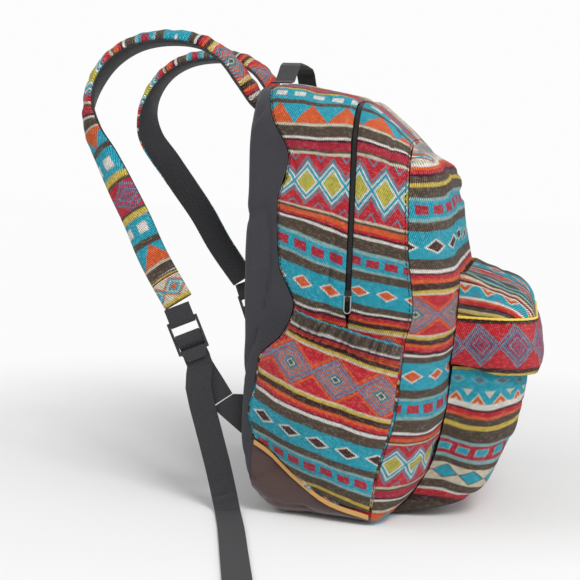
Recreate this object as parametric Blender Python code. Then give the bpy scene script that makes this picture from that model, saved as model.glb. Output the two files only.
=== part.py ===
"""Woven daypack standing on its suede base, built panel by panel.

X runs across the bag, the wearer's left is -X.  The straps are at +Y, the front
pocket at -Y, +Z is up, and the origin is the middle of the flat base.
"""

import bpy
import bmesh
from math import cos, pi, sin, sqrt
from mathutils import Vector
from mathutils.bvhtree import BVHTree

# Body
HALF_WIDTH = 0.148
BACK_HEIGHT = 0.412
ZIP_HEIGHT = 0.398
FRONT_HEIGHT = 0.357
BACK_Y = 0.094
ZIP_Y = -0.006
TOP_RADIUS = 0.050
BASE_RADIUS = 0.030
TOP_CROWN = 0.006
BASE_FLAT_END = 0.044
BASE_ROUND_DEPTH = 0.055
BASE_ROUND_RISE = 0.072
BASE_SAG = 0.45

# Cloth, gaps and puffing
CLOTH = 0.0025
GAP = 0.0003
SEAT = 0.0006
RIM = 0.0010
PUFF = 0.006
ZIP_LIP = 0.002
BOARD = 0.006
PAD = 0.006
PAD_EDGE = 0.012

# Seams, as (height, Y) along the side of the bag
BACK_SEAM = ((0.0, 0.082), (0.128, 0.080), (0.160, 0.056), (0.205, 0.046), (0.245, 0.062),
             (0.300, 0.065), (0.344, 0.056), (0.380, 0.073), (0.412, 0.083))
FRONT_SEAM = ((0.0, -0.036), (0.040, -0.040), (0.110, -0.056), (0.175, -0.061), (0.205, -0.067),
              (0.265, -0.060), (0.357, -0.057))
# Profile of the front panel along its middle, as (height, Y)
FRONT_FACE = ((0.0, -0.038), (0.004, -0.049), (0.012, -0.062), (0.025, -0.073), (0.062, -0.092),
              (0.120, -0.102), (0.235, -0.109), (0.269, -0.105), (0.300, -0.099), (0.342, -0.084),
              (0.357, -0.0600))
FRONT_CORNER_POWER = 6.0
# Top line of the body from back to front, as (Y, height)
TOP_LINE = ((-0.060, FRONT_HEIGHT), (-0.035, (FRONT_HEIGHT + ZIP_HEIGHT) / 2), (ZIP_Y, ZIP_HEIGHT),
            (0.030, ZIP_HEIGHT + (BACK_HEIGHT - ZIP_HEIGHT) * 0.36), (BACK_Y - 0.011, BACK_HEIGHT),
            (BACK_Y, BACK_HEIGHT))
# Upper edge of the suede boot, as (Y, height)
BOOT_EDGE = ((-0.036, 0.008), (0.003, 0.018), (0.041, 0.043), (0.065, 0.064), (0.094, 0.080))

# Main zip
ZIP_END = 0.205
ZIP_TAPE_WIDTH = 0.0072
ZIP_TAPE = 0.0010
ZIP_SINK = 0.0016
COIL_WIDTH = 0.0034
COIL_RISE = 0.0012
SLIDER_LENGTH = 0.010
SLIDER_WIDTH = 0.0066
SLIDER_PLATE = 0.0012
SLIDER_CLEARANCE = 0.0004
SLIDER_REST = 0.012
PULL_LENGTH = 0.016
PULL_WIDTH = 0.0062
PULL_WIRE = 0.0007
LUG_RISE = 0.0038
EYE_RISE = 0.0014

# Side pockets
HEM_FRONT_Y = -0.062
HEM_FRONT_Z = 0.174
HEM_SLOPE = 0.27
HEM_HEIGHT = 0.020
HEM_THICKNESS = 0.0034
HEM_WAVE = 0.0016
GATHERS = 13
# How far a side pocket stands off the bag, from its bottom (0) to the hem's joint (1) and up the hem
POCKET_BELLY = ((0.0, 0.0), (0.2, 0.015), (0.5, 0.024), (0.8, 0.0215), (1.0, 0.0165), (1.2, 0.0155))
TRIM_WIDTH = 0.005
TRIM_THICKNESS = 0.0010

# Front pocket
POCKET_HALF = 0.104
POCKET_CORNER = 0.034
HOOD_HALF = 0.110
HOOD_HEM = 0.146
POCKET_TOP = 0.151
POCKET_SEAM_Z = 0.0012
# Profiles of the pocket and its hood along their middle, as (Y, height)
POCKET_FACE = ((-0.080, 0.0030), (-0.108, 0.010), (-0.128, 0.021), (-0.1415, 0.034), (-0.150, 0.055),
               (-0.159, 0.074), (-0.167, 0.095), (-0.172, 0.118), (-0.173, POCKET_TOP))
HOOD_FACE = ((-0.184, HOOD_HEM), (-0.186, 0.160), (-0.184, 0.176), (-0.180, 0.196), (-0.173, 0.212),
             (-0.160, 0.224), (-0.138, 0.233), (-0.122, 0.238))
HOOD_SEAM_Z = 0.243
HEM_RISE_BACK = 0.008
HEM_RISE_FROM = -0.150
HEM_RISE_RUN = 0.045
POCKET_ZIP_BAND = 0.018
POCKET_ZIP_HEIGHT = 0.009
POCKET_SLIDER_X = 0.060
POCKET_PULL_LENGTH = 0.016

# Straps and webbing
STRAP_WIDTH_TOP = 0.042
STRAP_WIDTH_END = 0.030
STRAP_PAD = 0.011
STRAP_PAD_END = 0.007
LINING = 0.0025
WEB_WIDTH = 0.025
WEB = 0.0014
LOCK_AT = Vector((-0.135, 0.150, 0.165))
LOCK_WIDTH = 0.031
LOCK_LENGTH = 0.042
LOCK_THICKNESS = 0.003
LOCK_SIDE = 0.0026
LOCK_BAR = 0.0038
LOCK_TAB_AT = 0.013
TAB_LENGTH = 0.022
HAUL_HALF = 0.085
HAUL_FOOT = 0.016
HAUL_RISE = 0.020
HAUL_WIDTH = 0.020
HAUL_Y = 0.079
ANCHOR_X = HALF_WIDTH - 0.020
ANCHOR_HEIGHT = 0.093
ANCHOR_HALF = 0.020
ANCHOR_END = Vector((-ANCHOR_X, 0.1165, 0.105))
ANCHOR_WAY = Vector((0, 0.60, 0.80))

STRAP_ROUTE = (
    (-0.070, 0.0943, 0.3935), (-0.0715, 0.1050, 0.4030), (-0.075, 0.1180, 0.4210), (-0.080, 0.1370, 0.4430),
    (-0.084, 0.1640, 0.457), (-0.086, 0.1960, 0.460), (-0.086, 0.2280, 0.454), (-0.087, 0.2540, 0.438),
    (-0.088, 0.2710, 0.414), (-0.090, 0.2770, 0.388), (-0.094, 0.2710, 0.362), (-0.103, 0.2520, 0.335),
    (-0.112, 0.2320, 0.306), (-0.120, 0.2120, 0.276), (-0.127, 0.1910, 0.240), (-0.134, 0.1630, 0.2010))
STRAP_FACES = (
    (0, -0.6, 1), (0, -0.7, 0.8), (0, -0.75, 0.7), (0, -0.5, 0.9), (0, -0.25, 1), (0, 0.05, 1),
    (0, 0.35, 1), (0, 0.7, 0.7), (-0.1, 0.95, 0.3), (-0.35, 0.9, -0.1), (-0.7, 0.6, -0.4),
    (-0.9, 0.3, -0.3), (-1, 0.15, -0.2), (-1, 0.05, -0.15), (-1, -0.1, -0.1), (-0.97, -0.25, 0))
TAIL_ROUTE = (
    (-0.1340, 0.1400, 0.118), (-0.1345, 0.1300, 0.083), (-0.1355, 0.1180, 0.044), (-0.1375, 0.1095, 0.0140),
    (-0.1450, 0.1045, 0.0035), (-0.1600, 0.0990, 0.0012), (-0.2000, 0.0860, 0.0012),
    (-0.2600, 0.0680, 0.0012), (-0.3300, 0.0470, 0.0012))


def clear_scene():
    """Remove every object of the open scene."""
    for item in list(bpy.data.objects):
        bpy.data.objects.remove(item, do_unlink=True)


def material(name, colour, roughness, metallic=0.0):
    """A Principled material of one colour."""
    made = bpy.data.materials.new(name)
    made.use_nodes = True
    shader = made.node_tree.nodes["Principled BSDF"]
    shader.inputs["Base Color"].default_value = (*colour, 1.0)
    shader.inputs["Roughness"].default_value = roughness
    shader.inputs["Metallic"].default_value = metallic
    made.diffuse_color = (*colour, 1.0)
    return made


def curve(points, at):
    """Smooth value at one place of a short list of (place, value) points."""
    if at <= points[0][0]:
        return points[0][1]
    if at >= points[-1][0]:
        return points[-1][1]
    slopes = [0.0] * len(points)
    for i in range(1, len(points) - 1):
        before = (points[i][1] - points[i - 1][1]) / (points[i][0] - points[i - 1][0])
        after = (points[i + 1][1] - points[i][1]) / (points[i + 1][0] - points[i][0])
        if before * after > 0:
            slopes[i] = 2 * before * after / (before + after)
    slopes[0] = (points[1][1] - points[0][1]) / (points[1][0] - points[0][0])
    slopes[-1] = (points[-1][1] - points[-2][1]) / (points[-1][0] - points[-2][0])
    i = max(k for k in range(len(points) - 1) if points[k][0] <= at)
    span = points[i + 1][0] - points[i][0]
    t = (at - points[i][0]) / span
    start = (2 * t ** 3 - 3 * t ** 2 + 1) * points[i][1] + (t ** 3 - 2 * t ** 2 + t) * span * slopes[i]
    end = (3 * t ** 2 - 2 * t ** 3) * points[i + 1][1] + (t ** 3 - t ** 2) * span * slopes[i + 1]
    return start + end


def ease(t):
    """A soft step from 0 to 1."""
    t = min(max(t, 0.0), 1.0)
    return t * t * (3 - 2 * t)


def finish(name, body, look, smooth=True):
    """Turn a bmesh into a named object with its faces pointing out."""
    bmesh.ops.remove_doubles(body, verts=body.verts, dist=0.00001)
    bmesh.ops.recalc_face_normals(body, faces=body.faces)
    mesh = bpy.data.meshes.new(name)
    body.to_mesh(mesh)
    body.free()
    if smooth:
        mesh.shade_smooth()
        mesh.set_sharp_from_angle(angle=0.7)
    mesh.materials.append(look)
    item = bpy.data.objects.new(name, mesh)
    bpy.context.scene.collection.objects.link(item)
    return item


def shell(name, outer, inner, look, closed=False):
    """A closed wall between two grids of points; closed joins the ends of each row."""
    body = bmesh.new()
    rows, columns = len(outer), len(outer[0])
    grids = [[[body.verts.new(p) for p in row] for row in grid] for grid in (outer, inner)]
    last = columns if closed else columns - 1
    for grid in grids:
        for i in range(rows - 1):
            for j in range(last):
                k = (j + 1) % columns
                body.faces.new((grid[i][j], grid[i][k], grid[i + 1][k], grid[i + 1][j]))
    out, back = grids
    for i in (0, rows - 1):
        for j in range(last):
            k = (j + 1) % columns
            body.faces.new((out[i][j], out[i][k], back[i][k], back[i][j]))
    if not closed:
        for j in (0, columns - 1):
            for i in range(rows - 1):
                body.faces.new((out[i][j], out[i + 1][j], back[i + 1][j], back[i][j]))
    return finish(name, body, look)


def sweep(name, rings, look):
    """A tube through a list of closed rings, capped at both ends."""
    body = bmesh.new()
    made = [[body.verts.new(p) for p in ring] for ring in rings]
    count = len(rings[0])
    for first, second in zip(made, made[1:]):
        for j in range(count):
            k = (j + 1) % count
            body.faces.new((first[j], first[k], second[k], second[j]))
    body.faces.new(made[0])
    body.faces.new(made[-1])
    return finish(name, body, look)


def mirrored(points):
    """The same points on the wearer's right."""
    return [Vector((-p[0], p[1], p[2])) for p in points]


# Body outline

BASE_STEPS = 3
LOW_STEPS = 4
EDGE_INDEX = 8
ZIP_LOW_INDEX = 13
SIDE_END = 18
ARC_END = 22
TOP_INDEX = 25
REAR_COLUMNS = 6
FRONT_COLUMNS = 4


def base_height(y):
    """Height of the underside: flat, then rounded up towards the back."""
    reach = min(max((y - BASE_FLAT_END) / BASE_ROUND_DEPTH, 0.0), 0.98)
    return BASE_ROUND_RISE * (1 - sqrt(1 - reach * reach))


def side_height(index, edge, top):
    """Height of a point on the straight side, closer together at the zip's end."""
    low = ZIP_END - 0.012
    if index <= ZIP_LOW_INDEX:
        return edge + (low - edge) * (index - EDGE_INDEX) / (ZIP_LOW_INDEX - EDGE_INDEX)
    high = ZIP_END - 0.002
    return high + (top - high) * (index - ZIP_LOW_INDEX - 1) / (SIDE_END - ZIP_LOW_INDEX - 1)


def outline(y, index, inset=0.0):
    """X and height of one point of the half outline, from under the bag (0) to its top (TOP_INDEX)."""
    low, high, edge = base_height(y), curve(TOP_LINE, y), curve(BOOT_EDGE, y)
    rise = min((edge - low) * 0.8, BASE_RADIUS)
    top = high - TOP_RADIUS
    if index <= BASE_STEPS:
        share = index / BASE_STEPS
        sag = BASE_SAG + (1 - BASE_SAG) * share ** 2
        return (HALF_WIDTH - BASE_RADIUS) * share, low * sag + inset
    if index < EDGE_INDEX:
        angle = pi / 2 * (index - BASE_STEPS) / LOW_STEPS
        across = HALF_WIDTH - BASE_RADIUS + (BASE_RADIUS - inset) * sin(angle)
        return across, low + rise - (rise - inset) * cos(angle)
    if index <= SIDE_END:
        return HALF_WIDTH - inset, side_height(index, edge, top)
    if index <= ARC_END:
        angle = pi / 2 * (index - SIDE_END) / (ARC_END - SIDE_END)
        reach = TOP_RADIUS - inset
        return HALF_WIDTH - TOP_RADIUS + reach * cos(angle), top + reach * sin(angle)
    share = (index - ARC_END) / (TOP_INDEX - ARC_END)
    return (HALF_WIDTH - TOP_RADIUS) * (1 - share), high - inset + TOP_CROWN * (1 - (1 - share) ** 2)


def ring_point(y_at, index, inset=0.0):
    """Point of the outline on a seam, where the seam's Y depends on the height."""
    height = 0.2
    for _ in range(6):
        y = y_at(height)
        across, height = outline(y, index, inset)
    return Vector((across, y, height))


def back_seam(z):
    return curve(BACK_SEAM, z)


def front_seam(z):
    return curve(FRONT_SEAM, z)


def zip_open(z):
    """0 below the zip, where its two sides meet in a plain seam, and 1 beside it."""
    return ease((z - ZIP_END + 0.012) / 0.010)


def zip_edge(z, sign):
    """Edge of a gusset beside the zip."""
    return ZIP_Y + sign * (GAP / 2 + (ZIP_TAPE_WIDTH / 2 + GAP / 2) * zip_open(z))


def gusset_half(y_at, share, puff, inset):
    """Half hoop of a gusset, share runs from the panel's seam (0) to the zip (1)."""
    points = []
    for i in range(EDGE_INDEX, TOP_INDEX + 1):
        swell = puff * sin(pi * share) ** 0.8 * ease((i - EDGE_INDEX) / 3)
        lip = ZIP_LIP * share ** 3 if i > ZIP_LOW_INDEX else 0.0
        point = ring_point(y_at, i, inset - swell - lip)
        if i == EDGE_INDEX:
            point.z += GAP / 2
        points.append(point)
    return points


def gusset(name, seam, sign, puff, look, columns):
    """A band of cloth over the bag from a panel's seam to the zip."""
    grids = []
    for inset in (0.0, CLOTH):
        grid = []
        for j in range(columns + 1):
            share = j / columns
            half = gusset_half(lambda z: seam(z) + (zip_edge(z, sign) - seam(z)) * share, share, puff, inset)
            grid.append(mirrored(half)[:-1] + half[::-1])
        grids.append(grid)
    return shell(name, grids[0], grids[1], look)


def build_gussets(cloth):
    gusset("rear_gusset", lambda z: back_seam(z) - GAP / 2, 1, PUFF, cloth, REAR_COLUMNS)
    gusset("front_gusset", lambda z: front_seam(z) + GAP / 2, -1, PUFF * 0.7, cloth, FRONT_COLUMNS)


def boot_column(j, z):
    """Y of one of the boot's columns, in line with the columns of the gussets above it."""
    if j <= REAR_COLUMNS:
        return back_seam(z) - GAP / 2 + (ZIP_Y - back_seam(z)) * j / REAR_COLUMNS
    return ZIP_Y + (front_seam(z) + GAP / 2 - ZIP_Y) * (j - REAR_COLUMNS) / FRONT_COLUMNS


def build_boot(suede):
    """Suede boot with a stiff board in its base."""
    grids = []
    for layer in (0, 1):
        grid = []
        for j in range(REAR_COLUMNS + FRONT_COLUMNS + 1):
            half = []
            for i in range(EDGE_INDEX + 1):
                inset = (BOARD + (CLOTH - BOARD) * ease((i - BASE_STEPS) / LOW_STEPS)) * layer
                point = ring_point(lambda z: boot_column(j, z), i, inset)
                if i == EDGE_INDEX:
                    point.z -= GAP / 2
                half.append(point)
            grid.append(mirrored(half)[:0:-1] + half)
        grids.append(grid)
    shell("base_boot", grids[0], grids[1], suede)


def closed_ring(y_at, inset):
    """The whole outline once round."""
    half = [ring_point(y_at, i, inset) for i in range(TOP_INDEX + 1)]
    return half + mirrored(half)[-2:0:-1]


def build_back_panel(cloth):
    """Padded back panel: its edge wraps round on to the sides as far as the seam."""
    rings = [
        closed_ring(lambda z: BACK_Y - PAD, PAD_EDGE),
        closed_ring(lambda z: BACK_Y - PAD, CLOTH),
        closed_ring(lambda z: back_seam(z) + GAP / 2, CLOTH),
        closed_ring(lambda z: back_seam(z) + GAP / 2, 0.0),
        closed_ring(lambda z: BACK_Y - PAD_EDGE * 0.5, 0.0),
        closed_ring(lambda z: BACK_Y - PAD_EDGE * 0.15, PAD_EDGE * 0.35),
        closed_ring(lambda z: BACK_Y, PAD_EDGE),
    ]
    sweep("back_panel", rings, cloth)


def front_depth(x, z, width):
    """Y of the front panel's outer face."""
    share = min(abs(x) / width, 1.0)
    bulge = sqrt(max(1 - share ** FRONT_CORNER_POWER, 0.0))
    seam = front_seam(z)
    return seam + (curve(FRONT_FACE, z) - seam) * bulge


def patch(bottom, top, left, right):
    """Rows of points between four runs of points that share their corners."""
    rows = []
    for i, (start, end) in enumerate(zip(left, right)):
        v = i / (len(left) - 1)
        row = []
        for j, (low, high) in enumerate(zip(bottom, top)):
            u = j / (len(bottom) - 1)
            corners = bottom[0].lerp(bottom[-1], u).lerp(top[0].lerp(top[-1], u), v)
            row.append(low.lerp(high, v) + start.lerp(end, u) - corners)
        rows.append(row)
    return rows


def build_front_panel(cloth):
    """Domed front panel, closed against the front edges of the gusset and the boot."""
    grids = []
    low_corner, high_corner = BASE_STEPS + LOW_STEPS // 2, (SIDE_END + ARC_END) // 2
    for inset in (0.0, CLOTH):
        half = [ring_point(lambda z: front_seam(z) - GAP / 2, i, inset) for i in range(TOP_INDEX + 1)]
        other = mirrored(half)
        bottom = other[low_corner:0:-1] + half[:low_corner + 1]
        top = other[high_corner:TOP_INDEX] + half[TOP_INDEX:high_corner - 1:-1]
        rows = patch(bottom, top, other[low_corner:high_corner + 1], half[low_corner:high_corner + 1])
        for i in range(1, len(rows) - 1):
            for j in range(1, len(rows[i]) - 1):
                p = rows[i][j]
                p.y = front_depth(p.x, p.z, rows[i][-1].x) + 1.2 * inset
        grids.append(rows)
    shell("front_panel", grids[0], grids[1], cloth)


def skin(*names):
    """Search tree over pieces that are already built."""
    joined = bmesh.new()
    for name in names:
        joined.from_mesh(bpy.data.objects[name].data)
    return BVHTree.FromBMesh(joined)


def seat(tree, start, way, fallback):
    """Where a ray first meets the pieces of a search tree."""
    hit = tree.ray_cast(Vector(start), Vector(way))[0]
    return hit if hit else Vector(fallback)


# Zips


def build_main_zip(black):
    """Zip over the top of the bag, straight down both sides."""
    half, tooth = ZIP_TAPE_WIDTH / 2, COIL_WIDTH / 2
    low, deep = ZIP_SINK, ZIP_SINK + ZIP_TAPE
    ridge = ZIP_SINK - COIL_RISE
    section = ((-half, low), (-tooth, low), (-tooth, ridge), (tooth, ridge), (tooth, low), (half, low),
               (half, deep), (-half, deep))
    rings = []
    for i in range(ZIP_LOW_INDEX + 1, TOP_INDEX + 1):
        ring = [ring_point(lambda z: ZIP_Y + y, i, inset) for y, inset in section]
        rings.append(ring)
    rings = [mirrored(ring) for ring in rings] + rings[-2::-1]
    sweep("main_zip", rings, black)


def slider(name, at, along, across, out, hinge, look):
    """Zip slider: a plate over the coil, two cheeks beside it and a lug for the pull.

    at is the middle of the coil's top, along the zip's run, out its outward normal and
    hinge the direction in which the pull's wire passes through the lug.
    """
    def block(label, u0, u1, v0, v1, w0, w1):
        body = bmesh.new()
        corners = [at + along * u + across * v + out * w for u in (u0, u1) for v in (v0, v1) for w in (w0, w1)]
        made = [body.verts.new(c) for c in corners]
        for face in ((0, 1, 3, 2), (4, 6, 7, 5), (0, 4, 5, 1), (2, 3, 7, 6), (0, 2, 6, 4), (1, 5, 7, 3)):
            body.faces.new([made[i] for i in face])
        return finish(label, body, look, smooth=False)

    half, tall = SLIDER_WIDTH / 2, SLIDER_LENGTH / 2
    inner = COIL_WIDTH / 2 + SLIDER_CLEARANCE
    low = SLIDER_CLEARANCE
    foot, neck = SLIDER_CLEARANCE - COIL_RISE, low + SLIDER_PLATE / 2
    item = block(name, -tall, tall, -half, half, low, low + SLIDER_PLATE)
    add(item, block("cheek_a", -tall, tall, -half, -inner, foot, neck), "UNION")
    add(item, block("cheek_b", -tall, tall, inner, half, foot, neck), "UNION")
    wide, thin = 0.0024, 0.0009
    if abs(hinge.dot(across)) > 0.5:
        add(item, block("lug", -wide, wide, -thin, thin, neck, low + LUG_RISE), "UNION")
    else:
        add(item, block("lug", -thin, thin, -wide, wide, neck, low + LUG_RISE), "UNION")
    eye = at + out * (low + SLIDER_PLATE + EYE_RISE)
    add(item, rod("eye", eye - hinge * 0.004, eye + hinge * 0.004, 0.00105, look), "DIFFERENCE")
    return eye


def rod(name, start, end, radius, look):
    """A plain round bar with eight sides."""
    direction = (end - start).normalized()
    side = direction.orthogonal().normalized()
    up = direction.cross(side)
    turns = [2 * pi * k / 8 for k in range(8)]
    rings = [[p + (side * cos(t) + up * sin(t)) * radius for t in turns] for p in (start, end)]
    return sweep(name, rings, look)


def add(target, tool, how):
    """Join or cut one object with another and drop the tool."""
    step = target.modifiers.new(how.lower(), "BOOLEAN")
    step.operation = how
    step.solver = "EXACT"
    step.object = tool
    bpy.context.view_layer.update()
    result = bpy.data.meshes.new_from_object(target.evaluated_get(bpy.context.evaluated_depsgraph_get()))
    target.modifiers.clear()
    target.data = result
    bpy.data.objects.remove(tool, do_unlink=True)


def wire_pull(name, eye, down, across, length, look):
    """Wire loop hanging from a slider: a flat ring of round wire through the lug."""
    turns = []
    half, end = PULL_WIDTH / 2, PULL_WIDTH / 2
    for k in range(7):
        angle = pi * k / 6
        turns.append(eye + across * (half * cos(angle)) + down * (length - end + end * sin(angle)))
    turns += [eye - across * half, eye + across * half]
    rings = []
    count = len(turns)
    normal = down.cross(across).normalized()
    for i, point in enumerate(turns):
        ahead = (turns[(i + 1) % count] - turns[i - 1]).normalized()
        side = ahead.cross(normal).normalized()
        stretch = 1.0
        if i >= 7:
            stretch = 1.3
        rings.append([point + (side * cos(t) * stretch + normal * sin(t)) * PULL_WIRE
                      for t in (2 * pi * k / 6 for k in range(6))])
    body = bmesh.new()
    made = [[body.verts.new(p) for p in ring] for ring in rings]
    for i in range(count):
        first, second = made[i], made[(i + 1) % count]
        for j in range(6):
            k = (j + 1) % 6
            body.faces.new((first[j], first[k], second[k], second[j]))
    return finish(name, body, look)


# Side pockets


def hem_height(y):
    return HEM_FRONT_Z + HEM_SLOPE * (y - HEM_FRONT_Y)


def pocket_place(across, share):
    """Y and height on a side pocket: across runs from the back seam, share up to the hem's joint."""
    z = 0.10
    for _ in range(6):
        back, front = back_seam(z) - 0.003, front_seam(z) + 0.003
        y = back + (front - back) * across
        bottom = curve(BOOT_EDGE, y) + TRIM_WIDTH
        joint = hem_height(y) - HEM_HEIGHT
        z = bottom + (joint - bottom) * share
        if share > 1:
            z = joint + HEM_HEIGHT * (share - 1) / 0.2
    return y, z


def pocket_grid(tree, side, shares, thickness, shift):
    """Outer and inner grid of a pocket panel that stands off the bag and is gathered across."""
    columns = GATHERS * 2
    grids = ([], [])
    for share in shares:
        for grid in grids:
            grid.append([])
        for j in range(columns + 1):
            across = j / columns
            y, z = pocket_place(across, share)
            z += shift if share == 1.0 else 0.0
            swell = sin(pi * across) ** 0.7
            stand = swell * (curve(POCKET_BELLY, share) + HEM_WAVE * share ** 2 * (-1) ** j)
            base = seat(tree, (0.3, y, z), (-1, 0, 0), (HALF_WIDTH, y, z)).x + SEAT
            grids[0][-1].append(Vector((side * (base + stand + thickness), y, z)))
            grids[1][-1].append(Vector((side * (base + stand), y, z)))
    return grids


def build_side_pocket(name, side, cloth, elastic):
    """Gathered pocket and its elastic hem on one side of the bag."""
    tree = skin("rear_gusset", "front_gusset", "base_boot", "back_panel")
    lower = pocket_grid(tree, side, [0, 0.1, 0.22, 0.4, 0.6, 0.8, 1.0], CLOTH, -GAP)
    shell("side_pocket_" + name, lower[0], lower[1], cloth)
    upper = pocket_grid(tree, side, [1.0, 1.1, 1.2], HEM_THICKNESS, 0.0)
    shell("pocket_hem_" + name, upper[0], upper[1], elastic)


def build_trim(name, side, gold):
    """Narrow tape over the joint between cloth and suede."""
    tree = skin("rear_gusset", "front_gusset", "base_boot")
    columns = 12
    outer, inner = [], []
    for step in (-0.45, 0.45):
        row_out, row_in = [], []
        for j in range(columns + 1):
            y = back_seam(0.08) - 0.002 + (front_seam(0.0) - back_seam(0.08) + 0.004) * j / columns
            z = max(curve(BOOT_EDGE, y) + TRIM_WIDTH * step, 0.0045)
            base = seat(tree, (0.3, y, z), (-1, 0, 0), (HALF_WIDTH, y, z)).x + SEAT
            row_out.append(Vector((side * (base + TRIM_THICKNESS), y, z)))
            row_in.append(Vector((side * base, y, z)))
        outer.append(row_out)
        inner.append(row_in)
    shell("base_trim_" + name, outer, inner, gold)


# Front pocket


def plan_ring(tree, half, corner, face, z, inset, steps=4):
    """Points round the pocket at one height, from the front panel round the front and back to it."""
    edge = half - inset
    back = seat(tree, (edge, -0.4, z), (0, 1, 0), (edge, front_seam(z), z)).y - RIM
    depth = back - face - inset
    turn = min(max(corner - inset, 0.001), depth * 0.9)
    points = [Vector((-edge, back - (depth - turn) * i / 2, z)) for i in range(2)]
    for i in range(steps + 1):
        angle = pi / 2 * i / steps
        points.append(Vector((-edge + turn * (1 - cos(angle)), back - depth + turn * (1 - sin(angle)), z)))
    for i in range(1, 3):
        points.append(Vector(((-edge + turn) * (1 - i / 2), back - depth, z)))
    return points + mirrored(points)[-2::-1]


def seam_row(tree, like, z, lift):
    """The row of a pocket that lies against the front panel at one height."""
    row = []
    for p in like:
        rest = seat(tree, (p.x, -0.4, z), (0, 1, 0), (p.x, front_seam(z), z)).y
        row.append(Vector((p.x, rest - RIM - lift * (1 - abs(p.x / like[0].x) ** 12), z)))
    return row


def settle(tree, line):
    """Move a run of points away from the front panel until the edges between them are clear of it."""
    for a, b in zip(line, line[1:]):
        worst = 0.0
        for k in range(1, 8):
            p = a.lerp(b, k / 8)
            rest = seat(tree, (p.x, -0.4, p.z), (0, 1, 0), (p.x, p.y, p.z)).y - RIM
            worst = max(worst, p.y - rest)
        a.y -= worst
        b.y -= worst


def settle_sides(tree, grid):
    """Clear both side rims of a pocket, and keep the points beside them in order."""
    for rim in (0, -1):
        settle(tree, [row[rim] for row in grid])
    for row in grid:
        for near, far in ((0, 1), (1, 2), (-1, -2), (-2, -3)):
            row[far].y = min(row[far].y, row[near].y - RIM / 2)


def build_front_pocket(cloth, black, metal):
    """Lower pocket, its zip under the hood, and the hood over both."""
    tree = skin("front_panel")
    outer = [plan_ring(tree, POCKET_HALF, POCKET_CORNER, y, z, 0.0) for y, z in POCKET_FACE]
    inner = []
    for i, (y, z) in enumerate(POCKET_FACE):
        raised = z + CLOTH * (1 - i / (len(POCKET_FACE) - 1))
        inner.append(plan_ring(tree, POCKET_HALF, POCKET_CORNER, y, raised, CLOTH))
    outer.insert(0, seam_row(tree, outer[0], POCKET_SEAM_Z, CLOTH))
    inner.insert(0, seam_row(tree, inner[0], POCKET_SEAM_Z + CLOTH * 0.8, 0.0))
    for grid in (outer, inner):
        settle(tree, grid[0])
        settle_sides(tree, grid)
    shell("front_pocket", outer, inner, cloth)

    face, bottom = POCKET_FACE[-1][0], POCKET_TOP + GAP
    tooth, middle, top = COIL_WIDTH / 2, bottom + POCKET_ZIP_HEIGHT, bottom + POCKET_ZIP_BAND
    profile = ((bottom, ZIP_TAPE), (bottom, 0.0), (middle - tooth, 0.0), (middle - tooth, -COIL_RISE),
               (middle + tooth, -COIL_RISE), (middle + tooth, 0.0), (top, 0.0), (top, ZIP_TAPE))
    lines = [plan_ring(tree, POCKET_HALF, POCKET_CORNER, face, z, inset) for z, inset in profile]
    sweep("pocket_zip", [list(ring) for ring in zip(*lines)], black)

    outer, inner = [], []
    corner = POCKET_CORNER + HOOD_HALF - POCKET_HALF
    for i, (y, z) in enumerate(HOOD_FACE):
        outer.append(plan_ring(tree, HOOD_HALF, corner, y, z, 0.0))
        lowered = z - CLOTH * ease(i / (len(HOOD_FACE) - 1))
        inner.append(plan_ring(tree, HOOD_HALF, corner, y, lowered, CLOTH))
    outer.append(seam_row(tree, outer[-1], HOOD_SEAM_Z, CLOTH))
    inner.append(seam_row(tree, inner[-1], HOOD_SEAM_Z - CLOTH * 0.8, 0.0))
    for i, dip in ((0, 1.0), (1, 0.5)):
        for grid in (outer, inner):
            for p in grid[i]:
                p.z += HEM_RISE_BACK * dip * ease((p.y - HEM_RISE_FROM) / HEM_RISE_RUN)
    for grid in (outer, inner):
        settle(tree, grid[-1])
        settle_sides(tree, grid)
    shell("pocket_hood", outer, inner, cloth)

    at = Vector((POCKET_SLIDER_X, face - COIL_RISE, middle))
    along, across, out = Vector((1, 0, 0)), Vector((0, 0, 1)), Vector((0, -1, 0))
    return slider("pocket_slider", at, along, across, out, along, metal)


# Straps


def smooth_route(points, steps):
    """Points read from a smooth curve through the route's own points."""
    made = []
    count = len(points)
    for i in range(count - 1):
        a = Vector(points[max(i - 1, 0)])
        b, c = Vector(points[i]), Vector(points[i + 1])
        d = Vector(points[min(i + 2, count - 1)])
        for k in range(steps):
            t = k / steps
            made.append(0.5 * (2 * b + (c - a) * t + (2 * a - 5 * b + 4 * c - d) * t * t
                               + (3 * b - a - 3 * c + d) * t ** 3))
    made.append(Vector(points[-1]))
    return made


def frames(route, faces):
    """Tangent, side and face direction at each point of a route."""
    result = []
    for i, point in enumerate(route):
        ahead = (route[min(i + 1, len(route) - 1)] - route[max(i - 1, 0)]).normalized()
        face = (faces[i] - ahead * faces[i].dot(ahead)).normalized()
        result.append((point, ahead.cross(face).normalized(), face))
    return result


def strap_sections(route, faces, low, high, rounding):
    """Cross sections of a strap between two heights above its lining face."""
    rings = []
    count = len(route) - 1
    for i, (point, side, face) in enumerate(frames(route, faces)):
        share = i / count
        width = STRAP_WIDTH_TOP + (STRAP_WIDTH_END - STRAP_WIDTH_TOP) * ease(share * 1.1)
        thick = STRAP_PAD + (STRAP_PAD_END - STRAP_PAD) * ease(share * 1.1)
        bottom, top = low(thick), high(thick)
        half = width / 2
        shape = ((-half, bottom), (-half, bottom + (top - bottom) * 0.45), (-half * 0.78, top - (top - bottom) * rounding),
                 (-half * 0.3, top), (half * 0.3, top), (half * 0.78, top - (top - bottom) * rounding),
                 (half, bottom + (top - bottom) * 0.45), (half, bottom))
        rings.append([point + side * u + face * v for u, v in shape])
    return rings


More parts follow.
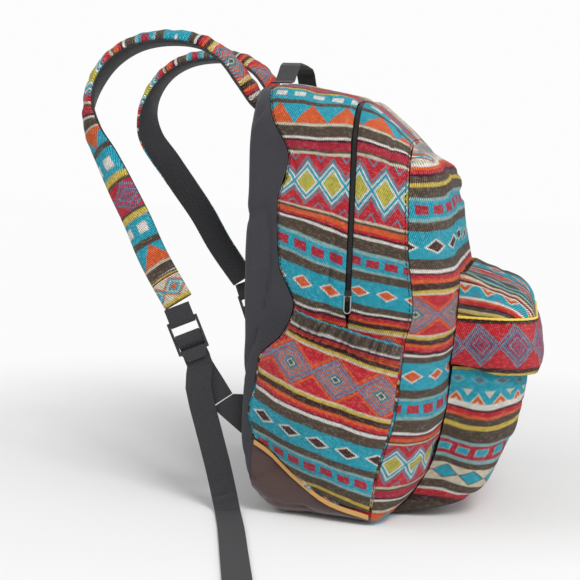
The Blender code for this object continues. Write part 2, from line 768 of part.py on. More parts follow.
def build_strap(name, side, cloth, lining):
    """Padded shoulder strap: woven cover above, black lining below."""
    route = smooth_route(STRAP_ROUTE, 2)
    faces = smooth_route(STRAP_FACES, 2)
    if side > 0:
        route, faces = mirrored(route), mirrored(faces)
    rings = strap_sections(route, faces, lambda t: -t / 2, lambda t: t / 2, 0.14)
    for p in rings[0]:
        p.y = BACK_Y + GAP
    sweep("shoulder_strap_" + name, rings, cloth)
    rings = []
    count = len(route) - 1
    for i, (point, across, face) in enumerate(frames(route, faces)):
        share = ease(i / count * 1.1)
        half = (STRAP_WIDTH_TOP + (STRAP_WIDTH_END - STRAP_WIDTH_TOP) * share) / 2
        top = -(STRAP_PAD + (STRAP_PAD_END - STRAP_PAD) * share) / 2 - GAP
        rings.append([point + across * u + face * v for u, v in
                      ((half, top), (-half, top), (-half + 0.002, top - LINING), (half - 0.002, top - LINING))])
    for p in rings[0]:
        p.y = BACK_Y + GAP
    sweep("strap_lining_" + name, rings, lining)


LOCK_FACE = Vector((-0.968, -0.25, 0)).normalized()
LOCK_DOWN = Vector((0.0975, -0.3775, -0.92)).normalized()
LOCK_SIDEWAYS = LOCK_DOWN.cross(LOCK_FACE).normalized()


def lock_point(a, b, c):
    """Point near the ladder lock: a across it, b down it, c out of its face."""
    return LOCK_AT + LOCK_SIDEWAYS * a + LOCK_DOWN * b + LOCK_FACE * c


def ribbon(name, route, sides, look, flip, width=WEB_WIDTH):
    """Flat webbing along a route, with its width along the given directions."""
    rings = []
    for i, point in enumerate(route):
        ahead = (route[min(i + 1, len(route) - 1)] - route[max(i - 1, 0)]).normalized()
        side = (sides[i] - ahead * sides[i].dot(ahead)).normalized()
        face = ahead.cross(side).normalized()
        rings.append([point + side * (u * width / 2) + face * (v * WEB / 2)
                      for u, v in ((-1, -1), (1, -1), (1, 1), (-1, 1))])
    if flip:
        rings = [mirrored(ring) for ring in rings]
    return sweep(name, rings, look)


def build_webbing(name, side, look):
    """Webbing from the bag's corner up through the lock, over its bar and down as the tail."""
    near = LOCK_THICKNESS / 2 + WEB / 2 + 0.0004
    far = near + WEB + 0.0006
    bar = LOCK_BAR / 2
    loop = [lock_point(0, 0.030, -far - 0.001), lock_point(0, 0.012, -far), lock_point(0, -0.002, -far),
            lock_point(0, -bar - 0.0035, -near * 0.75), lock_point(0, -bar - 0.0046, 0.0),
            lock_point(0, -bar - 0.0026, near), lock_point(0, 0.0, near + 0.0002),
            lock_point(0, 0.0034, near * 0.85), lock_point(0, 0.0056, 0.0), lock_point(0, 0.0074, -near * 0.8),
            lock_point(0, 0.0096, -near - 0.0001), lock_point(0, 0.0140, -near)]
    start = [ANCHOR_END + ANCHOR_WAY * 0.0009, ANCHOR_END.lerp(loop[0], 0.5)]
    tail = [lock_point(0, 0.028, -near - 0.0003)] + [Vector(p) for p in TAIL_ROUTE]
    route = start + loop + tail
    corner_way = ANCHOR_WAY.cross(Vector((1, 0, 0))).normalized()
    if corner_way.y < 0:
        corner_way.negate()
    flat_way = Vector((-0.30, 0.954, 0))
    sides = [corner_way, corner_way.lerp(LOCK_SIDEWAYS, 0.5)] + [LOCK_SIDEWAYS] * len(loop)
    for i, _ in enumerate(tail):
        sides.append(LOCK_SIDEWAYS.lerp(flat_way, min(i / 4, 1.0)))
    fine_route, fine_sides = smooth_route(route, 2), smooth_route(sides, 2)
    ribbon("lower_webbing_" + name, fine_route, fine_sides, look, side > 0)


def build_strap_tab(name, side, look):
    """Folded webbing at the strap's end, looped round the lock's top bar."""
    half = LOCK_THICKNESS / 2
    near = half + WEB / 2 + 0.0004
    top = -LOCK_LENGTH / 2
    finish_at = top - TAB_LENGTH * 0.62
    route = [lock_point(0, finish_at, near * 0.9), lock_point(0, top - 0.006, near), lock_point(0, top + 0.001, near),
             lock_point(0, top + LOCK_BAR + 0.0010, near * 0.75), lock_point(0, top + LOCK_BAR + 0.0014, 0.0),
             lock_point(0, top + LOCK_BAR + 0.0010, -near * 0.75), lock_point(0, top + 0.001, -near),
             lock_point(0, top - 0.006, -near), lock_point(0, finish_at, -near * 0.9)]
    route = smooth_route(route, 2)
    ribbon("strap_tab_" + name, route, [LOCK_SIDEWAYS] * len(route), look, side > 0)


def build_lock(name, side, look):
    """Ladder lock: a plate with two slots and a tapered lift tab at its lower end."""
    wide, top = LOCK_WIDTH / 2, -LOCK_LENGTH / 2
    inner, bar = wide - LOCK_SIDE, LOCK_BAR / 2
    rows = (top, top + LOCK_BAR, -bar, bar, LOCK_TAB_AT - LOCK_BAR, LOCK_TAB_AT)
    lines = [[(a, b) for a in (-wide, -inner, inner, wide)] for b in rows]
    lines.append([(0, 0), (-inner * 0.72, LOCK_LENGTH / 2), (inner * 0.72, LOCK_LENGTH / 2), (0, 0)])
    cells = [(i, j) for i in range(5) for j in range(3) if (i, j) not in ((1, 1), (3, 1))] + [(5, 1)]
    body = bmesh.new()
    made = {}

    def corner(i, j, c):
        if (i, j, c) not in made:
            point = lock_point(*lines[i][j], c)
            made[i, j, c] = body.verts.new((-side * point.x, point.y, point.z))
        return made[i, j, c]

    half = LOCK_THICKNESS / 2
    for i, j in cells:
        around = ((i, j), (i, j + 1), (i + 1, j + 1), (i + 1, j))
        for c in (-half, half):
            body.faces.new([corner(*at, c) for at in around])
        beside = ((i - 1, j), (i, j + 1), (i + 1, j), (i, j - 1))
        for k, other in enumerate(beside):
            if other not in cells:
                first, second = around[k], around[(k + 1) % 4]
                body.faces.new([corner(*first, -half), corner(*second, -half), corner(*second, half),
                                corner(*first, half)])
    return finish("ladder_lock_" + name, body, look, smooth=False)


def build_anchor(name, side, look):
    """Triangular tab in the back seam that holds the lower webbing."""
    edge = ANCHOR_WAY.cross(Vector((1, 0, 0))).normalized() * (WEB_WIDTH / 2)
    near = BACK_Y + GAP
    outline_points = [Vector((0, near, ANCHOR_HEIGHT - ANCHOR_HALF)), ANCHOR_END + edge, ANCHOR_END - edge,
                      Vector((0, near, ANCHOR_HEIGHT + ANCHOR_HALF))]
    rings = [[Vector((side * (ANCHOR_X + dx), p.y, p.z)) for p in outline_points] for dx in (-0.0015, 0.0015)]
    item = sweep("corner_tab_" + name, rings, look)
    item.data.shade_flat()


def build_haul_loop(look):
    """Short carrying loop of webbing, sewn down at both ends on the top edge."""
    tree = skin("rear_gusset", "back_panel")
    route = []
    for i in range(17):
        x = -HAUL_HALF + 2 * HAUL_HALF * i / 16
        rest = max(seat(tree, (x, HAUL_Y + dy, 0.6), (0, 0, -1), (x, HAUL_Y, BACK_HEIGHT)).z
                   for dy in (-HAUL_WIDTH / 2, -HAUL_WIDTH / 4, 0.0, HAUL_WIDTH / 4, HAUL_WIDTH / 2))
        lift = ease((HAUL_HALF - HAUL_FOOT - abs(x)) / 0.035)
        route.append(Vector((x, HAUL_Y, rest + SEAT + WEB / 2 + HAUL_RISE * lift)))
    ribbon("haul_loop", route, [Vector((0, 1, 0))] * len(route), look, False, HAUL_WIDTH)


def main():
    clear_scene()
    cloth = material("woven_cloth", (0.13, 0.42, 0.50), 0.9)
    charcoal = material("charcoal_cloth", (0.065, 0.065, 0.075), 0.92)
    suede = material("brown_suede", (0.10, 0.055, 0.05), 0.95)
    gold = material("gold_tape", (0.48, 0.27, 0.10), 0.85)
    black = material("black_webbing", (0.025, 0.025, 0.028), 0.85)
    plastic = material("black_plastic", (0.02, 0.02, 0.022), 0.45)
    metal = material("zip_metal", (0.55, 0.54, 0.52), 0.35, 0.9)
    build_back_panel(charcoal)
    build_gussets(cloth)
    build_front_panel(cloth)
    build_boot(suede)
    build_main_zip(black)
    at = Vector((-HALF_WIDTH + ZIP_SINK - COIL_RISE, ZIP_Y, ZIP_END + SLIDER_REST))
    down, out, across = Vector((0, 0, -1)), Vector((-1, 0, 0)), Vector((0, 1, 0))
    eye = slider("main_slider", at, down, across, out, across, metal)
    wire_pull("main_pull", eye, down, across, PULL_LENGTH, metal)
    eye = build_front_pocket(cloth, black, metal)
    wire_pull("pocket_pull", eye, down, Vector((1, 0, 0)), POCKET_PULL_LENGTH, metal)
    build_haul_loop(black)
    for name, side in (("left", -1), ("right", 1)):
        build_side_pocket(name, side, cloth, cloth)
        build_trim(name, side, gold)
        build_strap(name, side, cloth, black)
        build_lock(name, side, plastic)
        build_strap_tab(name, side, black)
        build_webbing(name, side, black)
        build_anchor(name, side, black)


main()
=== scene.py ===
"""Looks for the woven daypack: cloth panels, suede boot, webbing, zips, stitches and the studio."""

from math import cos, pi, radians, sin, sqrt

import bpy
import bmesh
import numpy as np
from bpy.props import FloatProperty, FloatVectorProperty, IntProperty, PointerProperty
from mathutils import Matrix, Vector


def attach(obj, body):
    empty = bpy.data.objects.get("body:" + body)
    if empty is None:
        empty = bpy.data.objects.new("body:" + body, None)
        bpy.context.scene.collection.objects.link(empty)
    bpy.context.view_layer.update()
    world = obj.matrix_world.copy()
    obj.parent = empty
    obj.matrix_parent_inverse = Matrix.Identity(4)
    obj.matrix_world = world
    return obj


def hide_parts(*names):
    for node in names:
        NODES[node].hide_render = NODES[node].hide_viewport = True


bl_info = {
    "name": "Woven daypack",
    "version": (1, 0, 0),
    "blender": (4, 5, 0),
    "location": "View3D > Sidebar > Daypack",
    "description": "Builds the looks of a woven daypack on its packed frame",
    "category": "Object",
}

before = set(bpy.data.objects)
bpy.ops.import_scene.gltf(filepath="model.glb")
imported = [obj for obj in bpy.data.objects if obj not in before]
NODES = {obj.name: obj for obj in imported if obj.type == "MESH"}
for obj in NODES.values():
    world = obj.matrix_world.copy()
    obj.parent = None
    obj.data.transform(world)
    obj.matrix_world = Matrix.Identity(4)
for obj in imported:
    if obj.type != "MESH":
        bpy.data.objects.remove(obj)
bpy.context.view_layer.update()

# The bag's outline. The back seam follows the photograph, and the rest is as in the solids
HALF_WIDTH = 0.148
FRONT_HEIGHT = 0.357
BACK_Y = 0.094
ZIP_Y = -0.006
TOP_RADIUS = 0.050
BASE_RADIUS = 0.030
TOP_CROWN = 0.006
BASE_FLAT_END = 0.044
BASE_ROUND_DEPTH = 0.055
BASE_ROUND_RISE = 0.072
BASE_SAG = 0.45
ZIP_END = 0.205
ZIP_TAPE_WIDTH = 0.0072
ZIP_LIP = 0.002
GAP = 0.0003
LIP_REACH = 0.0014
COIL_DEPTH = 0.0010
BACK_SEAM = ((0.0, 0.082), (0.076, 0.0815), (0.100, 0.0870), (0.125, 0.0815), (0.154, 0.0780),
             (0.178, 0.0560), (0.205, 0.046), (0.245, 0.062), (0.300, 0.065), (0.344, 0.056),
             (0.380, 0.073), (0.412, 0.083))
FRONT_SEAM = ((0.0, -0.036), (0.040, -0.040), (0.110, -0.056), (0.175, -0.061), (0.205, -0.067),
              (0.265, -0.060), (0.357, -0.057))
FRONT_FACE = ((0.0, -0.038), (0.004, -0.049), (0.012, -0.062), (0.025, -0.073), (0.062, -0.092),
              (0.120, -0.102), (0.235, -0.109), (0.269, -0.105), (0.300, -0.099), (0.342, -0.084),
              (0.357, -0.0600))
FRONT_CORNER_POWER = 6.0
TOP_LINE = ((-0.060, 0.357), (-0.035, 0.3775), (-0.006, 0.398), (0.030, 0.40304), (0.083, 0.412),
            (0.094, 0.412))
BOOT_EDGE = ((-0.036, 0.008), (0.003, 0.018), (0.041, 0.043), (0.065, 0.064), (0.094, 0.080))

# Indices of the corners of half the outline, from under the bag to its top
BASE_STEPS = 3
LOW_STEPS = 4
EDGE_INDEX = 8
ZIP_LOW_INDEX = 13
ZIP_HIGH_INDEX = 14
SIDE_END = 18
ARC_END = 22
TOP_INDEX = 25
CORNERS = (0, BASE_STEPS, BASE_STEPS + LOW_STEPS, EDGE_INDEX, ZIP_LOW_INDEX, ZIP_HIGH_INDEX, SIDE_END,
           ARC_END, TOP_INDEX)

# Cloth: its thickness as modelled, and how far the gussets puff out and how round
CLOTH = 0.0022
HOOD_CLOTH = 0.0020
SIDE_POCKET_CLOTH = 0.0018
REAR_PUFF = 0.0055
FRONT_PUFF = 0.0040
PUFF_POWER = 0.8

# Back panel: where its padded edge starts to round, and the point that its face narrows towards
BACK_ROUND = 0.007
BACK_MIDDLE = 0.235
BACK_REACH = 0.19
BACK_INSETS = (0.0006, 0.0022, 0.0045, 0.008, 0.013, 0.02, 0.032, 0.05, 0.07, 0.095, 0.115)
BACK_DEPTHS = (-0.0045, -0.0024, -0.0011, -0.0004, 0.0, 0.0, 0.0, 0.0, 0.0, 0.0, 0.0)

# What is repeated along the gussets' seams and along the zip: (spacing, size of one block)
STITCHES = (0.0048, (0.0031, 0.0007, 0.0005))
COIL = (0.0016, (0.0009, 0.0037, 0.0014))

# Side pockets
HEM_FRONT_Y = -0.062
HEM_FRONT_Z = 0.174
HEM_SLOPE = 0.27
HEM_HEIGHT = 0.020
TRIM_WIDTH = 0.005
POCKET_BELLY = ((0.0, 0.0), (0.2, 0.015), (0.5, 0.024), (0.8, 0.0215), (1.0, 0.0165), (1.2, 0.0155))
POCKET_STAND = 0.0008  # gap to the gusset under it
HEM_SHARE = 0.2  # the hem's part of the way up, where the pocket below it is 1
HEM_BULGE = ((0.0, 0.0), (0.06, 0.0022), (0.2, 0.0032), (0.4, 0.0036), (0.6, 0.0036), (0.8, 0.0032),
             (0.93, 0.0022), (1.0, 0.0008))

# Front pocket
POCKET_HALF = 0.104
POCKET_CORNER = 0.034
HOOD_HALF = 0.110
HOOD_HEM = 0.146
HOOD_SEAM = 0.199
POCKET_FACE = ((-0.080, 0.0030), (-0.108, 0.010), (-0.128, 0.021), (-0.1415, 0.034), (-0.150, 0.055),
               (-0.159, 0.074), (-0.167, 0.095), (-0.172, 0.118), (-0.173, 0.151))
HOOD_FACE = ((-0.184, 0.146), (-0.186, 0.160), (-0.184, 0.176), (-0.180, 0.196), (-0.173, 0.212),
             (-0.160, 0.224), (-0.138, 0.233), (-0.122, 0.238))

# Straps
STRAP_WIDTH_TOP = 0.042
STRAP_WIDTH_END = 0.030
STRAP_PAD = 0.011
STRAP_PAD_END = 0.007
STRAP_ROUTE = (
    (-0.070, 0.0943, 0.3935), (-0.0715, 0.1050, 0.4030), (-0.075, 0.1180, 0.4210), (-0.080, 0.1370, 0.4430),
    (-0.084, 0.1640, 0.457), (-0.086, 0.1960, 0.460), (-0.086, 0.2280, 0.454), (-0.087, 0.2540, 0.438),
    (-0.088, 0.2710, 0.414), (-0.090, 0.2770, 0.388), (-0.094, 0.2710, 0.362), (-0.103, 0.2520, 0.335),
    (-0.112, 0.2320, 0.306), (-0.120, 0.2120, 0.276), (-0.127, 0.1910, 0.240), (-0.134, 0.1630, 0.2010))
STRAP_FACES = (
    (0, -0.6, 1), (0, -0.7, 0.8), (0, -0.75, 0.7), (0, -0.5, 0.9), (0, -0.25, 1), (0, 0.05, 1),
    (0, 0.35, 1), (0, 0.7, 0.7), (-0.1, 0.95, 0.3), (-0.35, 0.9, -0.1), (-0.7, 0.6, -0.4),
    (-0.9, 0.3, -0.3), (-1, 0.15, -0.2), (-1, 0.05, -0.15), (-1, -0.1, -0.1), (-0.97, -0.25, 0))

# Cloth colours, linear
CLOTH_COLOURS = {
    "teal": (0.020, 0.390, 0.520), "brown": (0.095, 0.066, 0.047), "wine": (0.062, 0.020, 0.020),
    "maroon": (0.060, 0.008, 0.022), "crimson": (0.480, 0.022, 0.050), "red": (0.620, 0.025, 0.040),
    "orange": (0.760, 0.125, 0.030), "yellow": (0.680, 0.500, 0.080), "cream": (0.680, 0.620, 0.470),
    "white": (0.820, 0.780, 0.720), "slate": (0.130, 0.270, 0.370), "plum": (0.180, 0.130, 0.250),
    "green": (0.330, 0.520, 0.080), "pine": (0.030, 0.110, 0.120),
    "speckle": (0.270, 0.480, 0.480),
}


def listed(text):
    """Entries written as a colour, a number and perhaps the name of a figure, parted by commas."""
    entries = []
    for entry in text.split(","):
        colour, number, *figure = entry.split()
        entries.append((colour, float(number), " ".join(figure)))
    return tuple(entries)


# Woven rows from the top of one long roll: colour, millimetres and the figure woven into it
PLAIN_START = listed("cream 26 chevrons, yellow 3, brown 4")
MAIN_ROWS = listed("""
    red 33 plum diamonds, brown 3, yellow 3, teal 16 white dashes, brown 4.5, teal 19 orange teeth,
    cream 2.5, brown 10, white 2, maroon 2.2, crimson 8, brown 2, cream 3, red 53 green diamonds,
    cream 3, brown 2, orange 5, red 3, maroon 2.3, white 2.5, brown 11, speckle 3,
    teal 14 crimson dashes, speckle 2.5, brown 7.5, teal 24 orange diamonds, brown 6, white 2,
    maroon 2.5, red 3, orange 2.5, wine 4, yellow 2.4, cream 1.6, red 38 teal diamonds, cream 1.6,
    yellow 2.4, wine 5, orange 3, red 3, maroon 2, white 3, brown 9, teal 22 wine diamonds, brown 6,
    speckle 2.5, teal 13 crimson dashes, speckle 2.5, brown 8, yellow 3, brown 5, maroon 2.5, red 3,
    orange 2.5, white 2.5, cream 14 chevrons, yellow 3, brown 4""")
# The last long brown row covers the lowest part and the underside of the front pocket: painted shadow
# there, in place of the cloth's own rows.
POCKET_ROWS = listed("""
    yellow 3, teal 16.3 pine diamonds, cream 10.5 orange chevrons, white 4.3, wine 2.4, red 4,
    orange 2.7, brown 5.8, yellow 5, brown 11, speckle 3, crimson 12.4 teal dashes, speckle 3.6,
    brown 5.7, cream 16.3 black diamonds, brown 7.6, white 2.4, red 5.3, wine 6, brown 50""")
CROWN_ROWS = listed("""
    yellow 2.5, brown 2.5, yellow 2, cream 1.5, brown 3, wine 2, red 3, orange 2, white 2.2,
    slate 11 orange chevrons, white 2, maroon 2, orange 2, cream 3, brown 4, speckle 4, pine 6,
    speckle 5, pine 10, brown 12, white 3, red 40 teal diamonds, white 3, brown 12,
    teal 60 orange diamonds, brown 60""")
SKIRT_ROWS = listed("yellow 8, wine 4, red 39 slate diamonds, wine 4, yellow 20")
ROLL = PLAIN_START + MAIN_ROWS + MAIN_ROWS[:4] + POCKET_ROWS + CROWN_ROWS + SKIRT_ROWS
RAMP_ROWS = 18  # rows to one colour ramp, which holds 32 colours at most


def roll_mark(rows):
    """Length of some rows in metres."""
    return sum(height for _, height, _ in rows) / 1000


ROLL_START = -roll_mark(PLAIN_START)
POCKET_MARK = roll_mark(MAIN_ROWS + MAIN_ROWS[:4])
CROWN_MARK = POCKET_MARK + roll_mark(POCKET_ROWS)
SKIRT_MARK = CROWN_MARK + roll_mark(CROWN_ROWS)

# Where the rows of cloth lie. On the gussets: how steeply they fall towards the zip and from it, and how
# far the front ones are moved, against height; then the height and roll of one row, and roll per height
SIDE_SLOPE = ((0.200, 0.24), (0.240, 0.29), (0.270, 0.34), (0.285, 0.34), (0.320, 0.12), (0.360, 0.0))
FRONT_SLOPE = ((0.195, 0.10), (0.222, 0.20), (0.400, 0.20))
FRONT_SHIFT = ((0.196, 0.008), (0.217, 0.0092), (0.247, 0.005), (0.290, 0.002))
GUSSET_ROW = (0.1985, 0.246)
GUSSET_STRETCH = 0.941
# On the front panel and on a side pocket's hem: roll against height, which is a share on the hem
FRONT_ROLL = ((0.0, 0.062), (0.061, 0.134), (0.0905, 0.178), (0.114, 0.1995), (0.145, 0.228),
              (0.164, 0.247), (0.182, 0.262), (0.203, 0.283), (0.2225, 0.304), (0.243, 0.3205),
              (0.265, 0.342), (0.2995, 0.368), (0.360, 0.420))
HEM_ROLL = ((0.0, 0.2565), (0.4, 0.2470), (0.93, 0.2412), (1.0, 0.2385))
# On a side pocket: the height, depth and roll of one row, and how steeply the rows fall
SIDE_POCKET_ROW = (0.1431, 0.009, 0.285)
SIDE_POCKET_SLOPE = 0.30
# On a strap: roll against distance from its lower end
STRAP_ROLL = ((0.0, 0.4205), (0.004, 0.4175), (0.025, 0.4035), (0.0251, 0.3880), (0.029, 0.3850),
              (0.0291, 0.091), (0.039, 0.081), (0.041, 0.0785), (0.063, 0.0595), (0.070, 0.055),
              (0.092, 0.039), (0.099, 0.036), (0.102, 0.033), (0.1021, 0.0), (0.133, 0.033),
              (0.1365, 0.036), (0.144, 0.039), (0.171, 0.055), (0.177, 0.0595), (0.200, 0.0785),
              (0.202, 0.081), (0.212, 0.091), (0.650, 0.500))

# Woven figures: shape, period in mm, and colours from the middle outwards with their outer edges
FIGURES = {
    "plum diamonds": ("diamond", 34.0, listed(
        "plum 0.1, red 0.16, plum 0.24, slate 0.29, red 0.35, plum 0.42, red 0.46, slate 0.5, "
        "plum 0.55")),
    "slate diamonds": ("diamond", 34.0, listed(
        "crimson 0.07, plum 0.13, crimson 0.18, slate 0.23, crimson 0.28, plum 0.34, slate 0.4, "
        "crimson 0.44, slate 0.5")),
    "white dashes": ("dash", 18.0, listed("white 0.29")),
    "orange teeth": ("tooth", 32.0, listed("orange 0.5")),
    "green diamonds": ("zigzag", 25.0, listed(
        "green 0.03, yellow 0.09, green 0.12, yellow 0.18, green 0.21, white 0.265, teal 0.325, "
        "white 0.365, teal 0.405, red 0.43, slate 0.465, red 0.62, crimson 0.66, slate 0.7")),
    "crimson dashes": ("dash", 17.5, listed("crimson 0.33, plum 0.36")),
    "teal dashes": ("dash", 19.0, listed("teal 0.27, speckle 0.34")),
    "orange diamonds": ("lozenge", 27.0, listed("orange 0.31, white 0.4")),
    "wine diamonds": ("lozenge", 30.0, listed("wine 0.32, white 0.43")),
    "teal diamonds": ("diamond", 46.0, listed(
        "pine 0.06, cream 0.09, pine 0.12, slate 0.18, orange 0.22, slate 0.27, orange 0.31, "
        "slate 0.37, red 0.4, slate 0.46, red 0.485, orange 0.56")),
    "black diamonds": ("diamond", 27.0, listed("teal 0.375, wine 0.43")),
    "pine diamonds": ("lozenge", 21.0, listed("slate 0.1, pine 0.16, slate 0.3, speckle 0.36")),
    "orange chevrons": ("tooth", 21.0, listed("cream 0.12, orange 0.3, cream 0.38, teal 0.75")),
    "chevrons": ("diamond", 22.0, listed(
        "orange 0.16, teal 0.28, cream 0.36, teal 0.46, orange 0.54")),
}


def curve(points, at):
    """Smooth value at one place of a short list of (place, value) points."""
    if at <= points[0][0]:
        return points[0][1]
    if at >= points[-1][0]:
        return points[-1][1]
    slopes = [0.0] * len(points)
    for i in range(1, len(points) - 1):
        before = (points[i][1] - points[i - 1][1]) / (points[i][0] - points[i - 1][0])
        after = (points[i + 1][1] - points[i][1]) / (points[i + 1][0] - points[i][0])
        if before * after > 0:
            slopes[i] = 2 * before * after / (before + after)
    slopes[0] = (points[1][1] - points[0][1]) / (points[1][0] - points[0][0])
    slopes[-1] = (points[-1][1] - points[-2][1]) / (points[-1][0] - points[-2][0])
    i = max(k for k in range(len(points) - 1) if points[k][0] <= at)
    span = points[i + 1][0] - points[i][0]
    t = (at - points[i][0]) / span
    start = (2 * t ** 3 - 3 * t ** 2 + 1) * points[i][1] + (t ** 3 - 2 * t ** 2 + t) * span * slopes[i]
    end = (3 * t ** 2 - 2 * t ** 3) * points[i + 1][1] + (t ** 3 - t ** 2) * span * slopes[i + 1]
    return start + end


def straight(table, at):
    """Straight-line value at a place, or at many, of a table of (place, value)."""
    return np.interp(at, *zip(*table))


def ease(t):
    """A soft step from 0 to 1."""
    t = np.clip(t, 0.0, 1.0)
    return t * t * (3 - 2 * t)


def base_height(y):
    """Height of the base, which is flat and turns up towards the back."""
    reach = min(max((y - BASE_FLAT_END) / BASE_ROUND_DEPTH, 0.0), 0.98)
    return BASE_ROUND_RISE * (1 - sqrt(1 - reach * reach))


def side_height(index, edge, top):
    """Height at an index on the straight side, between the boot's edge and the top's round."""
    low, high = ZIP_END - 0.012, ZIP_END - 0.002
    if index <= ZIP_LOW_INDEX:
        return edge + (low - edge) * (index - EDGE_INDEX) / (ZIP_LOW_INDEX - EDGE_INDEX)
    if index <= ZIP_HIGH_INDEX:
        return low + (high - low) * (index - ZIP_LOW_INDEX)
    return high + (top - high) * (index - ZIP_HIGH_INDEX) / (SIDE_END - ZIP_HIGH_INDEX)


def outline(y, index, inset=0.0):
    """X and height of a point of the half outline, from under the bag (0) to its top (TOP_INDEX)."""
    low, high, edge = base_height(y), curve(TOP_LINE, y), curve(BOOT_EDGE, y)
    rise = min((edge - low) * 0.8, BASE_RADIUS)
    top = high - TOP_RADIUS
    if index <= BASE_STEPS:
        share = index / BASE_STEPS
        sag = BASE_SAG + (1 - BASE_SAG) * share ** 2
        return (HALF_WIDTH - BASE_RADIUS) * share, low * sag + inset
    if index < EDGE_INDEX:
        angle = pi / 2 * min((index - BASE_STEPS) / LOW_STEPS, 1.0)
        across = HALF_WIDTH - BASE_RADIUS + (BASE_RADIUS - inset) * sin(angle)
        height = low + rise - (rise - inset) * cos(angle)
        return across, height + (edge - height) * max(index - BASE_STEPS - LOW_STEPS, 0.0)
    if index <= SIDE_END:
        return HALF_WIDTH - inset, side_height(index, edge, top)
    if index <= ARC_END:
        angle = pi / 2 * (index - SIDE_END) / (ARC_END - SIDE_END)
        reach = TOP_RADIUS - inset
        return HALF_WIDTH - TOP_RADIUS + reach * cos(angle), top + reach * sin(angle)
    share = (index - ARC_END) / (TOP_INDEX - ARC_END)
    return (HALF_WIDTH - TOP_RADIUS) * (1 - share), high - inset + TOP_CROWN * (1 - (1 - share) ** 2)


def ring_point(y_at, index, inset=0.0):
    """Point of the outline where a surface, given as its Y against height, cuts it."""
    height = 0.2
    for _ in range(5):
        y = y_at(height)
        across, height = outline(y, index, inset)
    return Vector((across, y, height))


def mirrored(v):
    """A point or direction on the other side of the bag."""
    return Vector((-v.x, v.y, v.z))


def as_array(rows):
    """Rows of points as one array."""
    return np.array([[tuple(p) for p in row] for row in rows])


def back_seam(z):
    return curve(BACK_SEAM, z)


def front_seam(z):
    return curve(FRONT_SEAM, z)


def zip_open(z):
    """0 below the zip's end and 1 above it."""
    return float(ease((z - ZIP_END + 0.012) / 0.010))


def zip_edge(z, sign):
    """Y of a gusset's edge beside the zip."""
    return ZIP_Y + sign * (GAP / 2 + (ZIP_TAPE_WIDTH / 2 + GAP / 2 - LIP_REACH) * zip_open(z))


def steps_between(*runs):
    """Indices from run to run: each run is (start, end, steps)."""
    places = []
    for start, end, steps in runs:
        places += [start + (end - start) * k / steps for k in range(steps)]
    return places + [runs[-1][1]]


def corner_steps(first, *steps):
    """Indices from one corner of the outline on, with so many steps to each next corner."""
    corners = CORNERS[CORNERS.index(first):]
    return steps_between(*zip(corners, corners[1:], steps))


# Cloth building


def lattice_noise(u, v, seed):
    """Smooth noise between -1 and 1 on a fixed lattice."""
    rng = np.random.RandomState(seed)
    table = rng.rand(128, 128) * 2 - 1
    iu, iv = np.floor(u).astype(int), np.floor(v).astype(int)
    fu, fv = ease(u - iu), ease(v - iv)
    a, b = table[iu % 128, iv % 128], table[(iu + 1) % 128, iv % 128]
    c, d = table[iu % 128, (iv + 1) % 128], table[(iu + 1) % 128, (iv + 1) % 128]
    return (a * (1 - fu) + b * fu) * (1 - fv) + (c * (1 - fu) + d * fu) * fv


def crumple(u, v, seed, size=0.03):
    """Soft folds of a few sizes, as a height between about -1 and 1."""
    field = lattice_noise(u / size, v / size, seed)
    field += 0.5 * lattice_noise(u / size * 2.1 + 5, v / size * 1.9, seed + 1)
    field += 0.25 * lattice_noise(u / size * 4.3, v / size * 4.1 + 9, seed + 2)
    return field / 1.4


def ridges(u, v, seed, size=0.03):
    """Narrow creases between broad rolls, as a depth from 0 to 1."""
    bend = 0.7 * lattice_noise(u / size * 0.6, v / size * 0.6, seed + 9)
    return bell(np.abs(lattice_noise(u / size + bend, v / size, seed)), 0.10)


def bell(distance, width):
    """1 on a line, falling softly to 0 on both sides of it."""
    return np.exp(-(distance / width) ** 2)


def normals_of(points, centre):
    """Unit normals of a grid of points, turned away from a centre."""
    along = np.gradient(points, axis=0)
    across = np.gradient(points, axis=1)
    made = np.cross(along, across)
    made /= np.maximum(np.linalg.norm(made, axis=2, keepdims=True), 1e-9)
    away = np.sum(made * (points - np.array(centre)), axis=2).mean()
    return made if away > 0 else -made


def cloth_mesh(name, outer, inner, uv, finish="woven_cloth", node=(), closed=False):
    """A closed wall between two grids, with the outer grid's cloth coordinates on both faces."""
    rows, columns = outer.shape[:2]
    verts = np.concatenate([outer.reshape(-1, 3), inner.reshape(-1, 3)])
    verts[:, 2] = np.maximum(verts[:, 2], 0.0)
    grid = np.arange(rows * columns).reshape(rows, columns)
    if closed:
        grid = np.concatenate([grid, grid[:, :1]], axis=1)
    other = grid + rows * columns
    faces = []

    def quads(a, b, c, d, flip=False):
        corners = (a, d, c, b) if flip else (a, b, c, d)
        faces.append(np.stack([corner.ravel() for corner in corners], axis=1))

    quads(grid[:-1, :-1], grid[:-1, 1:], grid[1:, 1:], grid[1:, :-1])
    quads(other[:-1, :-1], other[1:, :-1], other[1:, 1:], other[:-1, 1:])
    for row, flip in ((0, True), (-1, False)):
        quads(grid[row, :-1], grid[row, 1:], other[row, 1:], other[row, :-1], flip)
    if not closed:
        for side, flip in ((0, False), (-1, True)):
            quads(grid[:-1, side], grid[1:, side], other[1:, side], other[:-1, side], flip)
    faces = np.concatenate(faces)
    mesh = bpy.data.meshes.new(name)
    mesh.from_pydata(verts.tolist(), [], faces.tolist())
    layer = mesh.uv_layers.new(name="cloth")
    both = np.concatenate([uv.reshape(-1, 2), uv.reshape(-1, 2)])
    layer.data.foreach_set("uv", both[faces.ravel()].ravel().astype(np.float32))
    return place(name, mesh, finish, node, merge=True)


